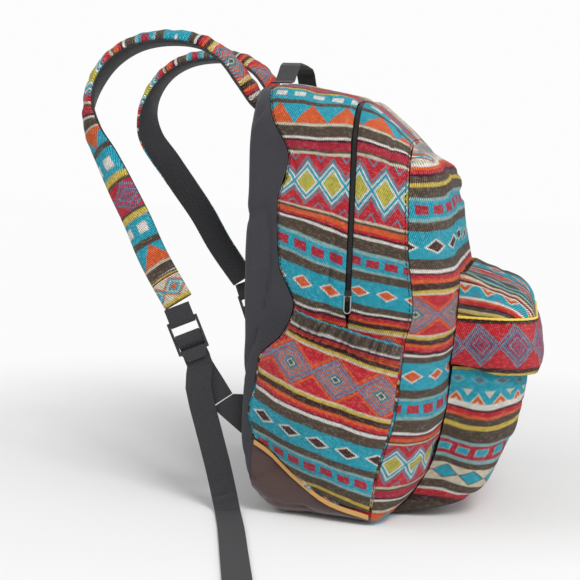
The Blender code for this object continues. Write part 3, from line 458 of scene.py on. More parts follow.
def place(name, mesh, finish, node=(), slot=None, body="bag", merge=False):
    """Finish a piece: outward faces, smooth shading, material, and its tie to the frame."""
    work = bmesh.new()
    work.from_mesh(mesh)
    if merge:
        bmesh.ops.remove_doubles(work, verts=work.verts, dist=0.00002)
    bmesh.ops.recalc_face_normals(work, faces=work.faces)
    work.to_mesh(mesh)
    work.free()
    mesh.shade_smooth()
    mesh.set_sharp_from_angle(angle=radians(50))
    mesh.materials.clear()
    mesh.materials.append(look(finish))
    piece = bpy.data.objects.new(name, mesh)
    bpy.context.scene.collection.objects.link(piece)
    slot = slot or finish
    if node:
        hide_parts(*node)
    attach(piece, body)
    return piece


def wall(name, points, uv, relief, centre, thickness=CLOTH, **ties):
    """A cloth panel with a relief on its outer face. The inner face follows only what is pressed in."""
    normals = normals_of(points, centre)
    outer = points + normals * relief[..., None]
    inner = points + normals * (np.minimum(relief, 0.0) - thickness)[..., None]
    cloth_mesh(name, outer, inner, uv, **ties)
    return outer, normals


def smooth_route(points, steps):
    """Points read from a smooth curve through a route's own points."""
    made = []
    count = len(points)
    for i in range(count - 1):
        a = Vector(points[max(i - 1, 0)])
        b, c = Vector(points[i]), Vector(points[i + 1])
        d = Vector(points[min(i + 2, count - 1)])
        for k in range(steps):
            t = k / steps
            made.append(0.5 * (2 * b + (c - a) * t + (2 * a - 5 * b + 4 * c - d) * t * t
                               + (3 * b - a - 3 * c + d) * t ** 3))
    made.append(Vector(points[-1]))
    return made


# Materials


class Nodes:
    """Short calls for the nodes of one material or group."""

    def __init__(self, tree):
        self.tree = tree

    def add(self, kind, **values):
        node = self.tree.nodes.new(kind)
        for key, value in values.items():
            setattr(node, key, value)
        return node

    def link(self, source, target):
        self.tree.links.new(source, target)

    def feed(self, socket, value):
        if isinstance(value, bpy.types.NodeSocket):
            self.link(value, socket)
        else:
            socket.default_value = value

    def math(self, operation, a, b=0.0, c=0.0):
        node = self.add("ShaderNodeMath", operation=operation)
        for socket, value in zip(node.inputs, (a, b, c)):
            self.feed(socket, value)
        return node.outputs[0]

    def mix(self, factor, a, b, blend="MIX"):
        node = self.add("ShaderNodeMix", data_type="RGBA", blend_type=blend)
        self.feed(node.inputs[0], factor)
        for socket, value in ((node.inputs[6], a), (node.inputs[7], b)):
            self.feed(socket, (*value, 1.0) if isinstance(value, tuple) and len(value) == 3 else value)
        return node.outputs[2]

    def ramp(self, factor, stops, interpolation="CONSTANT"):
        node = self.add("ShaderNodeValToRGB")
        node.color_ramp.interpolation = interpolation
        elements = node.color_ramp.elements
        while len(elements) < len(stops):
            elements.new(0.5)
        for element, (at, _) in zip(elements, stops):
            element.position = at
        for element, (_, colour) in zip(elements, stops):
            element.color = (*colour, 1.0)
        self.feed(node.inputs[0], factor)
        return node.outputs[0]

    def spot(self):
        """Where a point is on its own object."""
        return self.add("ShaderNodeTexCoord").outputs["Object"]

    def parts(self, vector):
        """The three numbers of a vector."""
        node = self.add("ShaderNodeSeparateXYZ")
        self.link(vector, node.inputs[0])
        return node.outputs

    def noise(self, vector, scale, detail=2.0, rough=0.5):
        node = self.add("ShaderNodeTexNoise")
        self.feed(node.inputs["Vector"], vector)
        node.inputs["Scale"].default_value = scale
        node.inputs["Detail"].default_value = detail
        node.inputs["Roughness"].default_value = rough
        return node.outputs["Fac"]

    def bump(self, height, distance, strength=1.0, normal=None):
        node = self.add("ShaderNodeBump")
        node.inputs["Strength"].default_value = strength
        node.inputs["Distance"].default_value = distance
        self.feed(node.inputs["Height"], height)
        if normal is not None:
            self.link(normal, node.inputs["Normal"])
        return node.outputs["Normal"]


def new_material(name, roughness, specular=0.3, sheen=0.0, metallic=0.0):
    """An empty Principled material and its node helper."""
    made = bpy.data.materials.new(name)
    made.use_nodes = True
    shader = made.node_tree.nodes["Principled BSDF"]
    shader.inputs["Roughness"].default_value = roughness
    shader.inputs["Specular IOR Level"].default_value = specular
    shader.inputs["Sheen Weight"].default_value = sheen
    shader.inputs["Metallic"].default_value = metallic
    return made, Nodes(made.node_tree), shader


def row_field(kind):
    """Node group: how far a point is from the middle of its woven figure, and 1 inside the row."""
    name = "woven " + kind
    if name in bpy.data.node_groups:
        return bpy.data.node_groups[name]
    group = bpy.data.node_groups.new(name, "ShaderNodeTree")
    for label in ("U", "V", "Start", "Height", "Period"):
        group.interface.new_socket(label, in_out="INPUT", socket_type="NodeSocketFloat")
    for label in ("Field", "Inside"):
        group.interface.new_socket(label, in_out="OUTPUT", socket_type="NodeSocketFloat")
    n = Nodes(group)
    given, result = n.add("NodeGroupInput").outputs, n.add("NodeGroupOutput")
    share = n.math("DIVIDE", n.math("SUBTRACT", given["V"], given["Start"]), given["Height"])
    inside = n.math("MULTIPLY", n.math("GREATER_THAN", share, 0.0), n.math("LESS_THAN", share, 1.0))
    across = n.math("FRACT", n.math("DIVIDE", given["U"], given["Period"]))
    saw = n.math("ABSOLUTE", n.math("MULTIPLY_ADD", across, 2.0, -1.0))
    lift = n.math("ABSOLUTE", n.math("MULTIPLY_ADD", share, 2.0, -1.0))
    if kind in ("diamond", "zigzag"):
        reach = n.math("MULTIPLY_ADD", saw, 0.85 if kind == "diamond" else 0.6, lift)
    elif kind == "lozenge":
        reach = n.math("MULTIPLY_ADD", lift, 1.65, saw)
    elif kind == "dash":
        reach = n.math("MAXIMUM", saw, n.math("MULTIPLY", lift, 1.3))
    else:
        reach = n.math("ADD", saw, n.math("SUBTRACT", 1.0, share))
    n.link(n.math("MULTIPLY", reach, 0.5), result.inputs["Field"])
    n.link(inside, result.inputs["Inside"])
    return group


def woven_material(name):
    """Striped dobby cloth, read from each piece's own cloth coordinates in metres."""
    looks = bpy.context.scene.daypack_looks
    made, n, shader = new_material(name, 0.95, 0.12, looks.cloth_sheen)
    spot = n.add("ShaderNodeUVMap", uv_map="cloth").outputs["UV"]
    u, raw = n.parts(spot)[:2]
    rib = n.math("DIVIDE", n.math("MULTIPLY_ADD", raw, 0.6, u), looks.thread)
    drift = n.math("MULTIPLY_ADD", n.noise(spot, 30.0), 0.004, -0.002)
    v = n.math("MULTIPLY_ADD", n.math("FRACT", rib), looks.thread * 0.7, n.math("ADD", raw, drift))
    colour = None
    begin = ROLL_START
    for first in range(0, len(ROLL), RAMP_ROWS):
        rows = ROLL[first:first + RAMP_ROWS]
        length = roll_mark(rows)
        stops, reached = [], 0.0
        for tint, height, _ in rows:
            stops.append((reached / length, CLOTH_COLOURS[tint]))
            reached += height / 1000
        part = n.ramp(n.math("DIVIDE", n.math("SUBTRACT", v, begin), length), stops)
        colour = part if colour is None else n.mix(n.math("GREATER_THAN", v, begin), colour, part)
        begin += length
    begin = ROLL_START
    for _, height, figure in ROLL:
        if figure:
            colour = with_figure(n, colour, u, v, begin, height / 1000, FIGURES[figure])
        begin += height / 1000
    cell = n.add("ShaderNodeCombineXYZ")
    n.link(n.math("FLOOR", rib), cell.inputs[0])
    n.link(n.math("FLOOR", n.math("DIVIDE", raw, looks.thread * 0.45)), cell.inputs[1])
    grain = n.add("ShaderNodeTexWhiteNoise", noise_dimensions="2D")
    n.link(cell.outputs[0], grain.inputs["Vector"])
    grain = grain.outputs["Value"]
    cloudy = n.noise(spot, 190.0, 3.0, 0.6)
    # The rib wave darkens the colour between the ribs and lightens their tops: painted shade of the weave.
    # Grain and cloudy add the yarn's random tone.
    ridge = n.math("SINE", n.math("MULTIPLY", rib, 2 * pi))
    yarn_tone_and_rib_shade = n.math("MULTIPLY_ADD", grain, 0.34, n.math("MULTIPLY_ADD", ridge, 0.33, 0.49))
    yarn_tone_and_rib_shade = n.math("MULTIPLY_ADD", cloudy, 0.60, yarn_tone_and_rib_shade)
    grey = n.add("ShaderNodeCombineXYZ")
    for socket in grey.inputs:
        n.link(yarn_tone_and_rib_shade, socket)
    colour = n.mix(1.0, colour, grey.outputs[0], "MULTIPLY")
    fleck = n.math("MULTIPLY", n.math("GREATER_THAN", grain, 0.84), 0.11)
    colour = n.mix(fleck, colour, CLOTH_COLOURS["cream"])
    n.link(colour, shader.inputs["Base Color"])
    height = n.math("MULTIPLY_ADD", cloudy, 1.2, n.math("MULTIPLY_ADD", grain, 0.5, ridge))
    n.link(n.bump(height, 0.0006, 0.9), shader.inputs["Normal"])
    return made


def with_figure(n, colour, u, v, begin, height, figure):
    """Lay one woven figure over a row of the cloth."""
    kind, period, rings = figure
    group = n.add("ShaderNodeGroup", node_tree=row_field(kind))
    given = {"U": u, "V": v, "Start": begin, "Height": height, "Period": period / 1000}
    for socket, value in given.items():
        n.feed(group.inputs[socket], value)
    field, inside = group.outputs["Field"], group.outputs["Inside"]
    edges = [0.0] + [edge for _, edge, _ in rings]
    stops = [(start, CLOTH_COLOURS[tint]) for start, (tint, _, _) in zip(edges, rings)]
    shown = n.math("MULTIPLY", inside, n.math("LESS_THAN", field, edges[-1]))
    return n.mix(shown, colour, n.ramp(field, stops))


def plain_cloth(name, colour, scale, roughness=0.93, sheen=0.15):
    """Plain coarse cloth on object coordinates."""
    made, n, shader = new_material(name, roughness, 0.2, sheen)
    spot = n.spot()
    fine = n.noise(spot, scale, 3.0, 0.65)
    broad = n.noise(spot, 22.0, 2.0)
    tone = n.math("MULTIPLY_ADD", fine, 0.8, n.math("MULTIPLY_ADD", broad, 0.5, 0.35))
    dark = tuple(c * 0.55 for c in colour)
    light = tuple(min(c * 1.35, 1.0) for c in colour)
    n.link(n.ramp(tone, [(0.55, dark), (0.98, light)], "LINEAR"), shader.inputs["Base Color"])
    n.link(n.bump(fine, 0.0006, 0.8), shader.inputs["Normal"])
    return made


def webbing_material(name):
    """Ribbed black webbing."""
    made, n, shader = new_material(name, 0.7, 0.35, 0.1)
    spot = n.spot()
    x, _, z = n.parts(spot)
    rib = n.math("SINE", n.math("MULTIPLY", n.math("ADD", z, x), 2 * pi / 0.0022))
    fine = n.noise(spot, 1400.0, 2.0)
    tone = n.math("MULTIPLY_ADD", rib, 0.18, fine)
    n.link(n.ramp(tone, [(0.2, (0.012, 0.012, 0.014)), (0.9, (0.046, 0.047, 0.051))], "LINEAR"),
           shader.inputs["Base Color"])
    n.link(n.bump(tone, 0.0004, 0.8), shader.inputs["Normal"])
    return made


def solid_material(name, colour, roughness, metallic=0.0):
    """Moulded plastic or metal with fine wear."""
    made, n, shader = new_material(name, roughness, 0.5, 0.0, metallic)
    spot = n.spot()
    wear = n.noise(spot, 420.0, 4.0, 0.6)
    worn = tuple(min(c * 2 + 0.05, 1) for c in colour)
    n.link(n.mix(n.math("MULTIPLY", wear, 0.15), colour, worn), shader.inputs["Base Color"])
    n.link(n.math("MULTIPLY_ADD", wear, 0.25, roughness - 0.12), shader.inputs["Roughness"])
    n.link(n.bump(wear, 0.0001, 0.4), shader.inputs["Normal"])
    return made


def look(name):
    """A finish by its slot name, made once."""
    if name in bpy.data.materials and bpy.data.materials[name].get("daypack"):
        return bpy.data.materials[name]
    old = bpy.data.materials.get(name)
    if old:
        old.name = name + "_frame"
    colours = bpy.context.scene.daypack_looks
    makers = {
        "woven_cloth": (woven_material,),
        "charcoal_cloth": (plain_cloth, tuple(colours.charcoal), 900.0),
        "brown_suede": (plain_cloth, tuple(colours.suede), 700.0, 0.97, 0.4),
        "gold_tape": (plain_cloth, tuple(colours.gold), 1100.0),
        "yellow_cord": (plain_cloth, CLOTH_COLOURS["yellow"], 1300.0),
        "black_webbing": (webbing_material,),
        "black_plastic": (solid_material, (0.016, 0.016, 0.018), 0.42),
        "zip_tape": (plain_cloth, (0.010, 0.010, 0.011), 1500.0),
        "slider_metal": (solid_material, (0.035, 0.034, 0.034), 0.38, 0.8),
        "zip_metal": (solid_material, (0.50, 0.49, 0.47), 0.32, 0.9),
    }
    maker, *values = makers[name]
    made = maker(name, *values)
    made["daypack"] = True
    return made


# Panels


def gusset_grid(seam, sign, puff, places, shares):
    """Grid of a gusset over the whole hoop, as arrays of points."""
    half = []
    for index in places:
        row = []
        for share in shares:
            swell = puff * sin(pi * share) ** PUFF_POWER * float(ease((index - EDGE_INDEX) / 3))
            lip = ZIP_LIP * share ** 3 * float(ease(index - ZIP_LOW_INDEX))
            row.append(ring_point(lambda z: seam(z) + (zip_edge(z, sign) - seam(z)) * share, index,
                                  -swell - lip))
        half.append(row)
    right = as_array(half)
    left = right * np.array((-1.0, 1.0, 1.0))
    return np.concatenate([left[:-1], right[::-1]])


def gusset_piece(name, seam, sign, puff, columns, seed):
    """One gusset with its rows, folds and stitches: sign is 1 behind the zip and -1 before it."""
    looks = bpy.context.scene.daypack_looks
    places = corner_steps(EDGE_INDEX, 60, 4, 52, 30, 30)
    shares = [k / columns for k in range(columns + 1)]
    points = gusset_grid(seam, sign, puff, places, shares)
    middle = len(places) - 1
    run = np.cumsum(np.linalg.norm(np.diff(points[:middle + 1, :, ::2], axis=0), axis=2), axis=0)
    run = np.concatenate([np.zeros((1, columns + 1)), run]) + points[0, :, 2]
    height = np.concatenate([run, run[-2::-1]])
    length = np.repeat((run[-1, -1] - height[:, -1])[:, None], columns + 1, axis=1)
    share = np.array(shares)[None, :] * np.ones_like(length)
    x, y, z = np.moveaxis(points, 2, 0)
    level = height - straight(SIDE_SLOPE if sign > 0 else FRONT_SLOPE, height) * (y - ZIP_Y)
    if sign < 0:
        level = level - straight(FRONT_SHIFT, height)
    row_height, row_roll = GUSSET_ROW
    roll = row_roll - (level - row_height) * GUSSET_STRETCH
    uv = np.stack([y * 1.02 + 0.3, roll], axis=2)
    edge = np.minimum(share, 1 - share)
    hold = ease(edge / 0.10)
    pucker = np.sin(length * 2 * pi / 0.019 + 2.5 * crumple(length, share * 0.1, seed + 7, 0.06))
    pucker = pucker * np.exp(-edge / 0.16) * hold * 0.0011
    folds = crumple(y * 0.7 + 1, length + 1, seed, 0.060) * hold * looks.fold_depth * 1.2
    creases = ridges(y + 2, length * 0.8 + 2, seed + 3, 0.045) * hold * looks.fold_depth * 1.1
    small = crumple(y + 3, length + 3, seed + 5, 0.017) * hold * looks.fold_depth * 0.3
    relief = pucker + folds - creases + small
    if sign > 0:
        side_only = ease((HALF_WIDTH * 1.05 - 0.02 - np.abs(x)) / -0.01)
        line = y - 0.012 - 0.004 * np.sin(z * 40)
        below = ease((0.34 - z) / 0.09)
        crease = bell(line, 0.0035) * below
        roll_beside = bell(line - 0.011, 0.008) * below
        line = (z - 0.352) + 0.6 * (y - 0.012)
        dip = bell(line, 0.004) * ease((0.050 - np.abs(y - 0.028)) / 0.02)
        relief = relief + (-crease * 0.0034 + roll_beside * 0.0022 - dip * 0.0026) * side_only
    relief = relief - 0.0014 * np.exp(-edge / 0.03)
    outer, normals = wall(name + "_cloth", points, uv, relief, (0, 0.0, 0.2), node=(name,))
    outs = normals[:, 1]
    repeat_along(name + "_stitches", outer[:, 1] + outs * 0.0001, outs, *STITCHES, "zip_tape")


def repeat_tree():
    """Geometry Nodes: blocks set at even steps along a run of points, squared to its `out` attribute."""
    name = "repeat along"
    if name in bpy.data.node_groups:
        return bpy.data.node_groups[name]
    group = bpy.data.node_groups.new(name, "GeometryNodeTree")
    for label, kind in (("Geometry", "Geometry"), ("Spacing", "Float"), ("Size", "Vector"),
                        ("Finish", "Material")):
        group.interface.new_socket(label, in_out="INPUT", socket_type="NodeSocket" + kind)
    group.interface.new_socket("Geometry", in_out="OUTPUT", socket_type="NodeSocketGeometry")
    n = Nodes(group)
    given, result = n.add("NodeGroupInput").outputs, n.add("NodeGroupOutput")
    line = n.add("GeometryNodeMeshToCurve")
    spaced = n.add("GeometryNodeResampleCurve", mode="LENGTH")
    out = n.add("GeometryNodeInputNamedAttribute", data_type="FLOAT_VECTOR")
    out.inputs["Name"].default_value = "out"
    ahead = n.add("FunctionNodeAlignRotationToVector", axis="X")
    turned = n.add("FunctionNodeAlignRotationToVector", axis="Z", pivot_axis="X")
    block = n.add("GeometryNodeMeshCube")
    spread = n.add("GeometryNodeInstanceOnPoints")
    real = n.add("GeometryNodeRealizeInstances")
    finish = n.add("GeometryNodeSetMaterial")
    n.link(given["Geometry"], line.inputs["Mesh"])
    n.link(line.outputs["Curve"], spaced.inputs["Curve"])
    n.link(given["Spacing"], spaced.inputs["Length"])
    n.link(n.add("GeometryNodeInputTangent").outputs[0], ahead.inputs["Vector"])
    n.link(ahead.outputs[0], turned.inputs["Rotation"])
    n.link(next(s for s in out.outputs if s.enabled and s.name == "Attribute"), turned.inputs["Vector"])
    n.link(given["Size"], block.inputs["Size"])
    n.link(spaced.outputs[0], spread.inputs["Points"])
    n.link(block.outputs["Mesh"], spread.inputs["Instance"])
    n.link(turned.outputs[0], spread.inputs["Rotation"])
    n.link(spread.outputs[0], real.inputs[0])
    n.link(real.outputs[0], finish.inputs["Geometry"])
    n.link(given["Finish"], finish.inputs["Material"])
    n.link(finish.outputs[0], result.inputs["Geometry"])
    return group


def repeat_along(name, points, outs, spacing, size, finish):
    """Blocks at even steps along a run of points, made by Geometry Nodes and kept as one plain mesh."""
    line = bpy.data.meshes.new(name + "_line")
    line.from_pydata([tuple(p) for p in points], [(k, k + 1) for k in range(len(points) - 1)], [])
    layer = line.attributes.new("out", "FLOAT_VECTOR", "POINT")
    layer.data.foreach_set("vector", np.array(outs, dtype=np.float32).ravel())
    item = bpy.data.objects.new(name + "_line", line)
    bpy.context.scene.collection.objects.link(item)
    nodes = item.modifiers.new("repeat", "NODES")
    nodes.node_group = repeat_tree()
    values = {"Spacing": spacing, "Size": size, "Finish": look(finish)}
    for socket in nodes.node_group.interface.items_tree:
        if socket.in_out == "INPUT" and socket.name in values:
            nodes[socket.identifier] = values[socket.name]
    evaluated = item.evaluated_get(bpy.context.evaluated_depsgraph_get())
    mesh = bpy.data.meshes.new_from_object(evaluated)
    item.modifiers.remove(nodes)
    bpy.data.objects.remove(item)
    if len(mesh.polygons) < 12:
        raise RuntimeError(name + " came out empty")
    place(name, mesh, finish, slot="black_webbing")


def need(*names):
    """Stop with an error if a piece wasn't made."""
    for name in names:
        if name not in bpy.data.objects:
            raise RuntimeError(name + " wasn't made")


class DAYPACK_OT_gussets(bpy.types.Operator):
    """Side and top bands either side of the main zip"""
    bl_idname = "daypack.gussets"
    bl_label = "Gussets"

    def execute(self, context):
        gusset_piece("rear_gusset", lambda z: back_seam(z) - GAP / 2, 1, REAR_PUFF, 30, 11)
        gusset_piece("front_gusset", lambda z: front_seam(z) + GAP / 2, -1, FRONT_PUFF, 20, 23)
        need("rear_gusset_cloth", "front_gusset_cloth", "rear_gusset_stitches")
        return {"FINISHED"}


def patch(bottom, top, left, right):
    """Rows of points between four runs of points that share their corners."""
    rows = []
    for i, (start, end) in enumerate(zip(left, right)):
        v = i / (len(left) - 1)
        row = []
        for j, (low, high) in enumerate(zip(bottom, top)):
            u = j / (len(bottom) - 1)
            corners = bottom[0].lerp(bottom[-1], u).lerp(top[0].lerp(top[-1], u), v)
            row.append(low.lerp(high, v) + start.lerp(end, u) - corners)
        rows.append(row)
    return rows


def ring_patch(y_at):
    """Patch inside one ring of the outline, and the indices of its rows."""
    low, high = BASE_STEPS + LOW_STEPS / 2, (SIDE_END + ARC_END) / 2
    bend = BASE_STEPS + LOW_STEPS
    side = (steps_between((low, bend, 6))[:-1] + corner_steps(bend, 3, 50, 4, 40)[:-1]
            + steps_between((SIDE_END, high, 10)))
    flat = steps_between((low, BASE_STEPS, 10), (BASE_STEPS, 0, 36))
    crown = steps_between((high, ARC_END, 10), (ARC_END, TOP_INDEX, 36))

    def run(places, flip):
        points = [ring_point(y_at, k) for k in places]
        return [mirrored(p) for p in points] if flip else points

    bottom = run(flat, True) + run(flat, False)[-2::-1]
    top = run(crown, True) + run(crown, False)[-2::-1]
    return patch(bottom, top, run(side, True), run(side, False))


def front_depth(x, z, width):
    """Y of the domed front panel, which is so wide to each side at that height."""
    share = min(abs(x) / width, 1.0)
    bulge = sqrt(max(1 - share ** FRONT_CORNER_POWER, 0.0))
    seam = front_seam(z)
    return seam + (curve(FRONT_FACE, z) - seam) * bulge


class DAYPACK_OT_front_panel(bpy.types.Operator):
    """Domed front panel with puckers along its seam"""
    bl_idname = "daypack.front_panel"
    bl_label = "Front panel"

    def execute(self, context):
        looks = context.scene.daypack_looks
        rows = ring_patch(lambda z: front_seam(z) - GAP / 2)
        for row in rows[1:-1]:
            for p in row[1:-1]:
                p.y = front_depth(p.x, p.z, row[-1].x)
        points = as_array(rows)
        x, y, z = np.moveaxis(points, 2, 0)
        width = np.abs(points[:, -1:, 0])
        inward = width - np.abs(x)
        rise = 0.010 * ease(inward / 0.07) - 0.003
        uv = np.stack([0.5 - run_across(points), straight(FRONT_ROLL, z - rise - 0.003)], axis=2)
        edge = np.minimum(inward, np.minimum(FRONT_HEIGHT + 0.004 - z, z + 0.003))
        hold = ease(edge / 0.010)
        pucker = np.sin(z * 2 * pi / 0.021 + 3 * crumple(z, x, 5, 0.08)) * np.exp(-inward / 0.022) * 0.0020
        folds = crumple(x + 1, z * 1.6, 41, 0.06) * looks.fold_depth * 1.5
        creases = ridges(x + 2, z * 1.5 + 1, 47, 0.055) * looks.fold_depth * 1.3
        small = crumple(x + 3, z + 1, 43, 0.02) * looks.fold_depth * 0.4
        line = z - 0.318 - 0.30 * (y + 0.085)
        beside = ease((0.095 - inward) / 0.05)
        tuck = bell(line, 0.0035) * beside
        roll_above = bell(line - 0.013, 0.009) * beside
        relief = (pucker + folds - creases + small - tuck * 0.0036 + roll_above * 0.0024) * hold
        wall("front_panel_cloth", points, uv, relief, (0, 0.05, 0.18), node=("front_panel",))
        need("front_panel_cloth")
        return {"FINISHED"}


class DAYPACK_OT_back_panel(bpy.types.Operator):
    """Padded charcoal back, wrapped round on to the sides"""
    bl_idname = "daypack.back_panel"
    bl_label = "Back panel"

    def execute(self, context):
        looks = context.scene.daypack_looks
        places = corner_steps(0, 24, 12, 4, 44, 3, 40, 24, 24)

        def whole_ring(y_at):
            half = [ring_point(y_at, k) for k in places]
            return half + [mirrored(p) for p in half[-2:0:-1]]

        grid = []
        for share in (0.0, 0.02, 0.06, 0.12, 0.2, 0.3, 0.4, 0.5, 0.6, 0.7, 0.8, 0.9, 1.0):
            grid.append(whole_ring(lambda z: back_seam(z) + GAP / 2
                                   + (BACK_Y - BACK_ROUND - back_seam(z)) * share))
        for inset, depth in zip(BACK_INSETS, BACK_DEPTHS):
            narrow, low = 1 - inset / HALF_WIDTH, 1 - inset / BACK_REACH
            grid.append([(p.x * narrow, BACK_Y + depth, BACK_MIDDLE + (p.z - BACK_MIDDLE) * low)
                         for p in whole_ring(lambda z: BACK_Y + depth)])
        points = as_array(grid)
        x, y, z = np.moveaxis(points, 2, 0)
        closed = np.concatenate([points, points[:, :2]], axis=1)
        normals = normals_of(closed, (0, 0.06, 0.2))[:, :points.shape[1]]
        folds = crumple(z * 0.6 + 1, y * 1.5 + x * 0.4 + 1, 61, 0.05) * looks.fold_depth * 1.6
        folds = folds - ridges(z * 0.5 + y + 1, y * 2.0 + x * 0.5 + 1, 63, 0.05) * looks.fold_depth * 1.6
        hold = ease((y - np.min(y, axis=0)[None, :]) / 0.008)
        out = points + normals * (folds * hold)[..., None]
        out[..., 1] = np.minimum(out[..., 1], BACK_Y + 0.0015)
        inner = points * np.array((0.985, 1.0, 1.0)) - normals * 0.0015
        inner[..., 1] = np.minimum(inner[..., 1], BACK_Y - 0.006)
        uv = np.stack([x, z], axis=2)
        pad = cloth_mesh("back_panel_cloth", out, inner, uv, "charcoal_cloth", node=("back_panel",),
                         closed=True)
        cap = bpy.data.meshes.new("back_panel_middle")
        ring = [tuple(p) for p in out[-1]]
        count = len(ring)
        lower = [(p[0], p[1] - 0.005, p[2]) for p in ring]
        cap.from_pydata(ring + lower, [], [tuple(range(count)), tuple(range(2 * count - 1, count - 1, -1))]
                        + [(k, (k + 1) % count, count + (k + 1) % count, count + k) for k in range(count)])
        place("back_panel_middle", cap, "charcoal_cloth")
        need("back_panel_cloth", "back_panel_middle")
        return {"FINISHED"}


class DAYPACK_OT_boot(bpy.types.Operator):
    """Creased suede boot and its gold edge tape"""
    bl_idname = "daypack.boot"
    bl_label = "Boot"

    def execute(self, context):
        looks = context.scene.daypack_looks
        places = corner_steps(0, 24, 16, 14)
        grid = []
        for share in [k / 36 for k in range(37)]:
            half = [ring_point(lambda z: (back_seam(z) - GAP / 2) * (1 - share)
                               + (front_seam(z) + GAP / 2) * share, k) for k in places]
            grid.append([mirrored(p) for p in half[:0:-1]] + half)
        points = as_array(grid)
        x, y, z = np.moveaxis(points, 2, 0)
        under = ease((0.004 - z) / 0.004) * ease((0.03 - y) / 0.02)
        folds = crumple(y * 0.7 + np.sign(x), z * 1.5 + np.abs(x), 71, 0.028) * looks.fold_depth * 1.2
        folds = folds - ridges(y * 0.6 + np.sign(x), z * 1.3 + np.abs(x), 73, 0.035) * looks.fold_depth
        relief = folds * (1 - under) * ease((0.30 - np.abs(x)) / 0.1)
        uv = np.stack([x, y], axis=2)
        wall("base_boot_suede", points, uv, relief, (0, 0.02, 0.1), finish="brown_suede",
             node=("base_boot",))
        for side in ("left", "right"):
            paint("base_trim_" + side, "gold_tape")
        need("base_boot_suede")
        return {"FINISHED"}


def paint(node, finish, bevel=0.0):
    """Give a CAD node its finish, and a soft edge if it is rigid."""
    item = NODES[node]
    item.data.materials.clear()
    item.data.materials.append(look(finish))
    if bevel:
        weld = item.modifiers.new("weld", "WELD")
        weld.merge_threshold = 0.00001
        edge = item.modifiers.new("edges", "BEVEL")
        edge.width = bevel
        edge.segments = 2
        edge.limit_method = "ANGLE"
        edge.angle_limit = radians(40)
    return item


# Side pockets


def pocket_place(across, share):
    """Y and height of a place on a side pocket: share is 1 at the hem's seam and 1.2 at its top."""
    z = 0.10
    for _ in range(5):
        back, front = back_seam(z) - 0.003, front_seam(z) + 0.003
        y = back + (front - back) * across
        bottom = curve(BOOT_EDGE, y) + TRIM_WIDTH
        joint = hem_height(y) - HEM_HEIGHT
        z = bottom + (joint - bottom) * share
        if share > 1:
            z = joint + HEM_HEIGHT * (share - 1) / HEM_SHARE
    return y, z


def hem_height(y):
    """Height of the top of a side pocket's hem."""
    return HEM_FRONT_Z + HEM_SLOPE * (y - HEM_FRONT_Y)


def side_surface(y, z):
    """X of the puffed gusset under a side pocket."""
    if y > ZIP_Y:
        share = (back_seam(z) - y) / (back_seam(z) - ZIP_Y)
        puff = REAR_PUFF
    else:
        share = (y - front_seam(z)) / (ZIP_Y - front_seam(z))
        puff = FRONT_PUFF
    grow = float(ease((z - 0.03) / 0.1))
    return HALF_WIDTH + puff * sin(pi * min(max(share, 0.0), 1.0)) ** PUFF_POWER * grow


def pocket_point(across, share):
    """Distance out, Y and height of a place on a side pocket, and how far it swells there."""
    y, z = pocket_place(across, share)
    swell = sin(pi * across) ** 0.7
    return side_surface(y, z) + POCKET_STAND + swell * curve(POCKET_BELLY, share), y, z, swell


def side_pocket(name, side):
    """A side pocket with gathers under its hem: side is -1 or 1, as X."""
    looks = bpy.context.scene.daypack_looks
    columns = 90
    shares = [k / 56 for k in range(57)]
    grid = np.array([[pocket_point(j / columns, share) for j in range(columns + 1)] for share in shares])
    swell = grid[..., 3]
    points = grid[..., :3] * np.array((side, 1.0, 1.0))
    y, z = points[..., 1], points[..., 2]
    share = np.array(shares)[:, None] * np.ones_like(y)
    across = np.linspace(0, 1, columns + 1)[None, :] * np.ones_like(y)
    wobble = across + 0.012 * crumple(share * 0.1, across * 0.1, 3, 0.03)
    gathers = np.sin(wobble * 2 * pi * looks.gathers) * np.exp(-(1 - share) / 0.22)
    gathers = gathers + 0.5 * np.sin(wobble * 2 * pi * looks.gathers * 0.5 + 1) * np.exp(-(1 - share) / 0.4)
    relief = gathers * 0.0017 * swell + crumple(y + 1, z + side, 83, 0.04) * 0.0016 * swell
    row_height, row_y, row_roll = SIDE_POCKET_ROW
    roll = row_roll + (row_height - z) * 0.92 + SIDE_POCKET_SLOPE * (y - row_y)
    uv = np.stack([y * 1.1 + 0.3, roll], axis=2)
    wall("side_pocket_cloth_" + name, points, uv, relief, (0, 0, 0.09), SIDE_POCKET_CLOTH,
         node=("side_pocket_" + name,))
    hem_band(name, side, columns)


def hem_band(name, side, columns):
    """Gathered elastic hem: a rounded band whose folds run up and down."""
    looks = bpy.context.scene.daypack_looks
    columns = columns * 2
    outer, inner, uv = [], [], []
    for height, bulge in HEM_BULGE:
        row_out, row_in, row_uv = [], [], []
        for j in range(columns + 1):
            across = j / columns
            base, y, z, swell = pocket_point(across, 1.0 + HEM_SHARE * height)
            turn = 2 * pi * looks.gathers * across + 0.8 * sin(across * 23)
            wave = sin(turn) + 0.3 * sin(2.3 * turn)
            ruffle = wave * (0.0018 + 0.0005 * height) * min(swell * 1.6, 1)
            z += 0.0007 * wave * height
            row_out.append((side * (base + bulge + ruffle), y, z))
            row_in.append((side * (base + ruffle * 0.8 - 0.0003), y, z))
            row_uv.append((y * 1.6 + 0.3, float(straight(HEM_ROLL, height))))
        outer.append(row_out)
        inner.append(row_in)
        uv.append(row_uv)
    cloth_mesh("pocket_hem_cloth_" + name, np.array(outer), np.array(inner), np.array(uv),
               node=("pocket_hem_" + name,))


class DAYPACK_OT_side_pockets(bpy.types.Operator):
    """Gathered side pockets with elastic hems"""
    bl_idname = "daypack.side_pockets"
    bl_label = "Side pockets"

    def execute(self, context):
        for name, side in (("left", -1), ("right", 1)):
            side_pocket(name, side)
            need("side_pocket_cloth_" + name, "pocket_hem_cloth_" + name)
        return {"FINISHED"}


# Front pocket


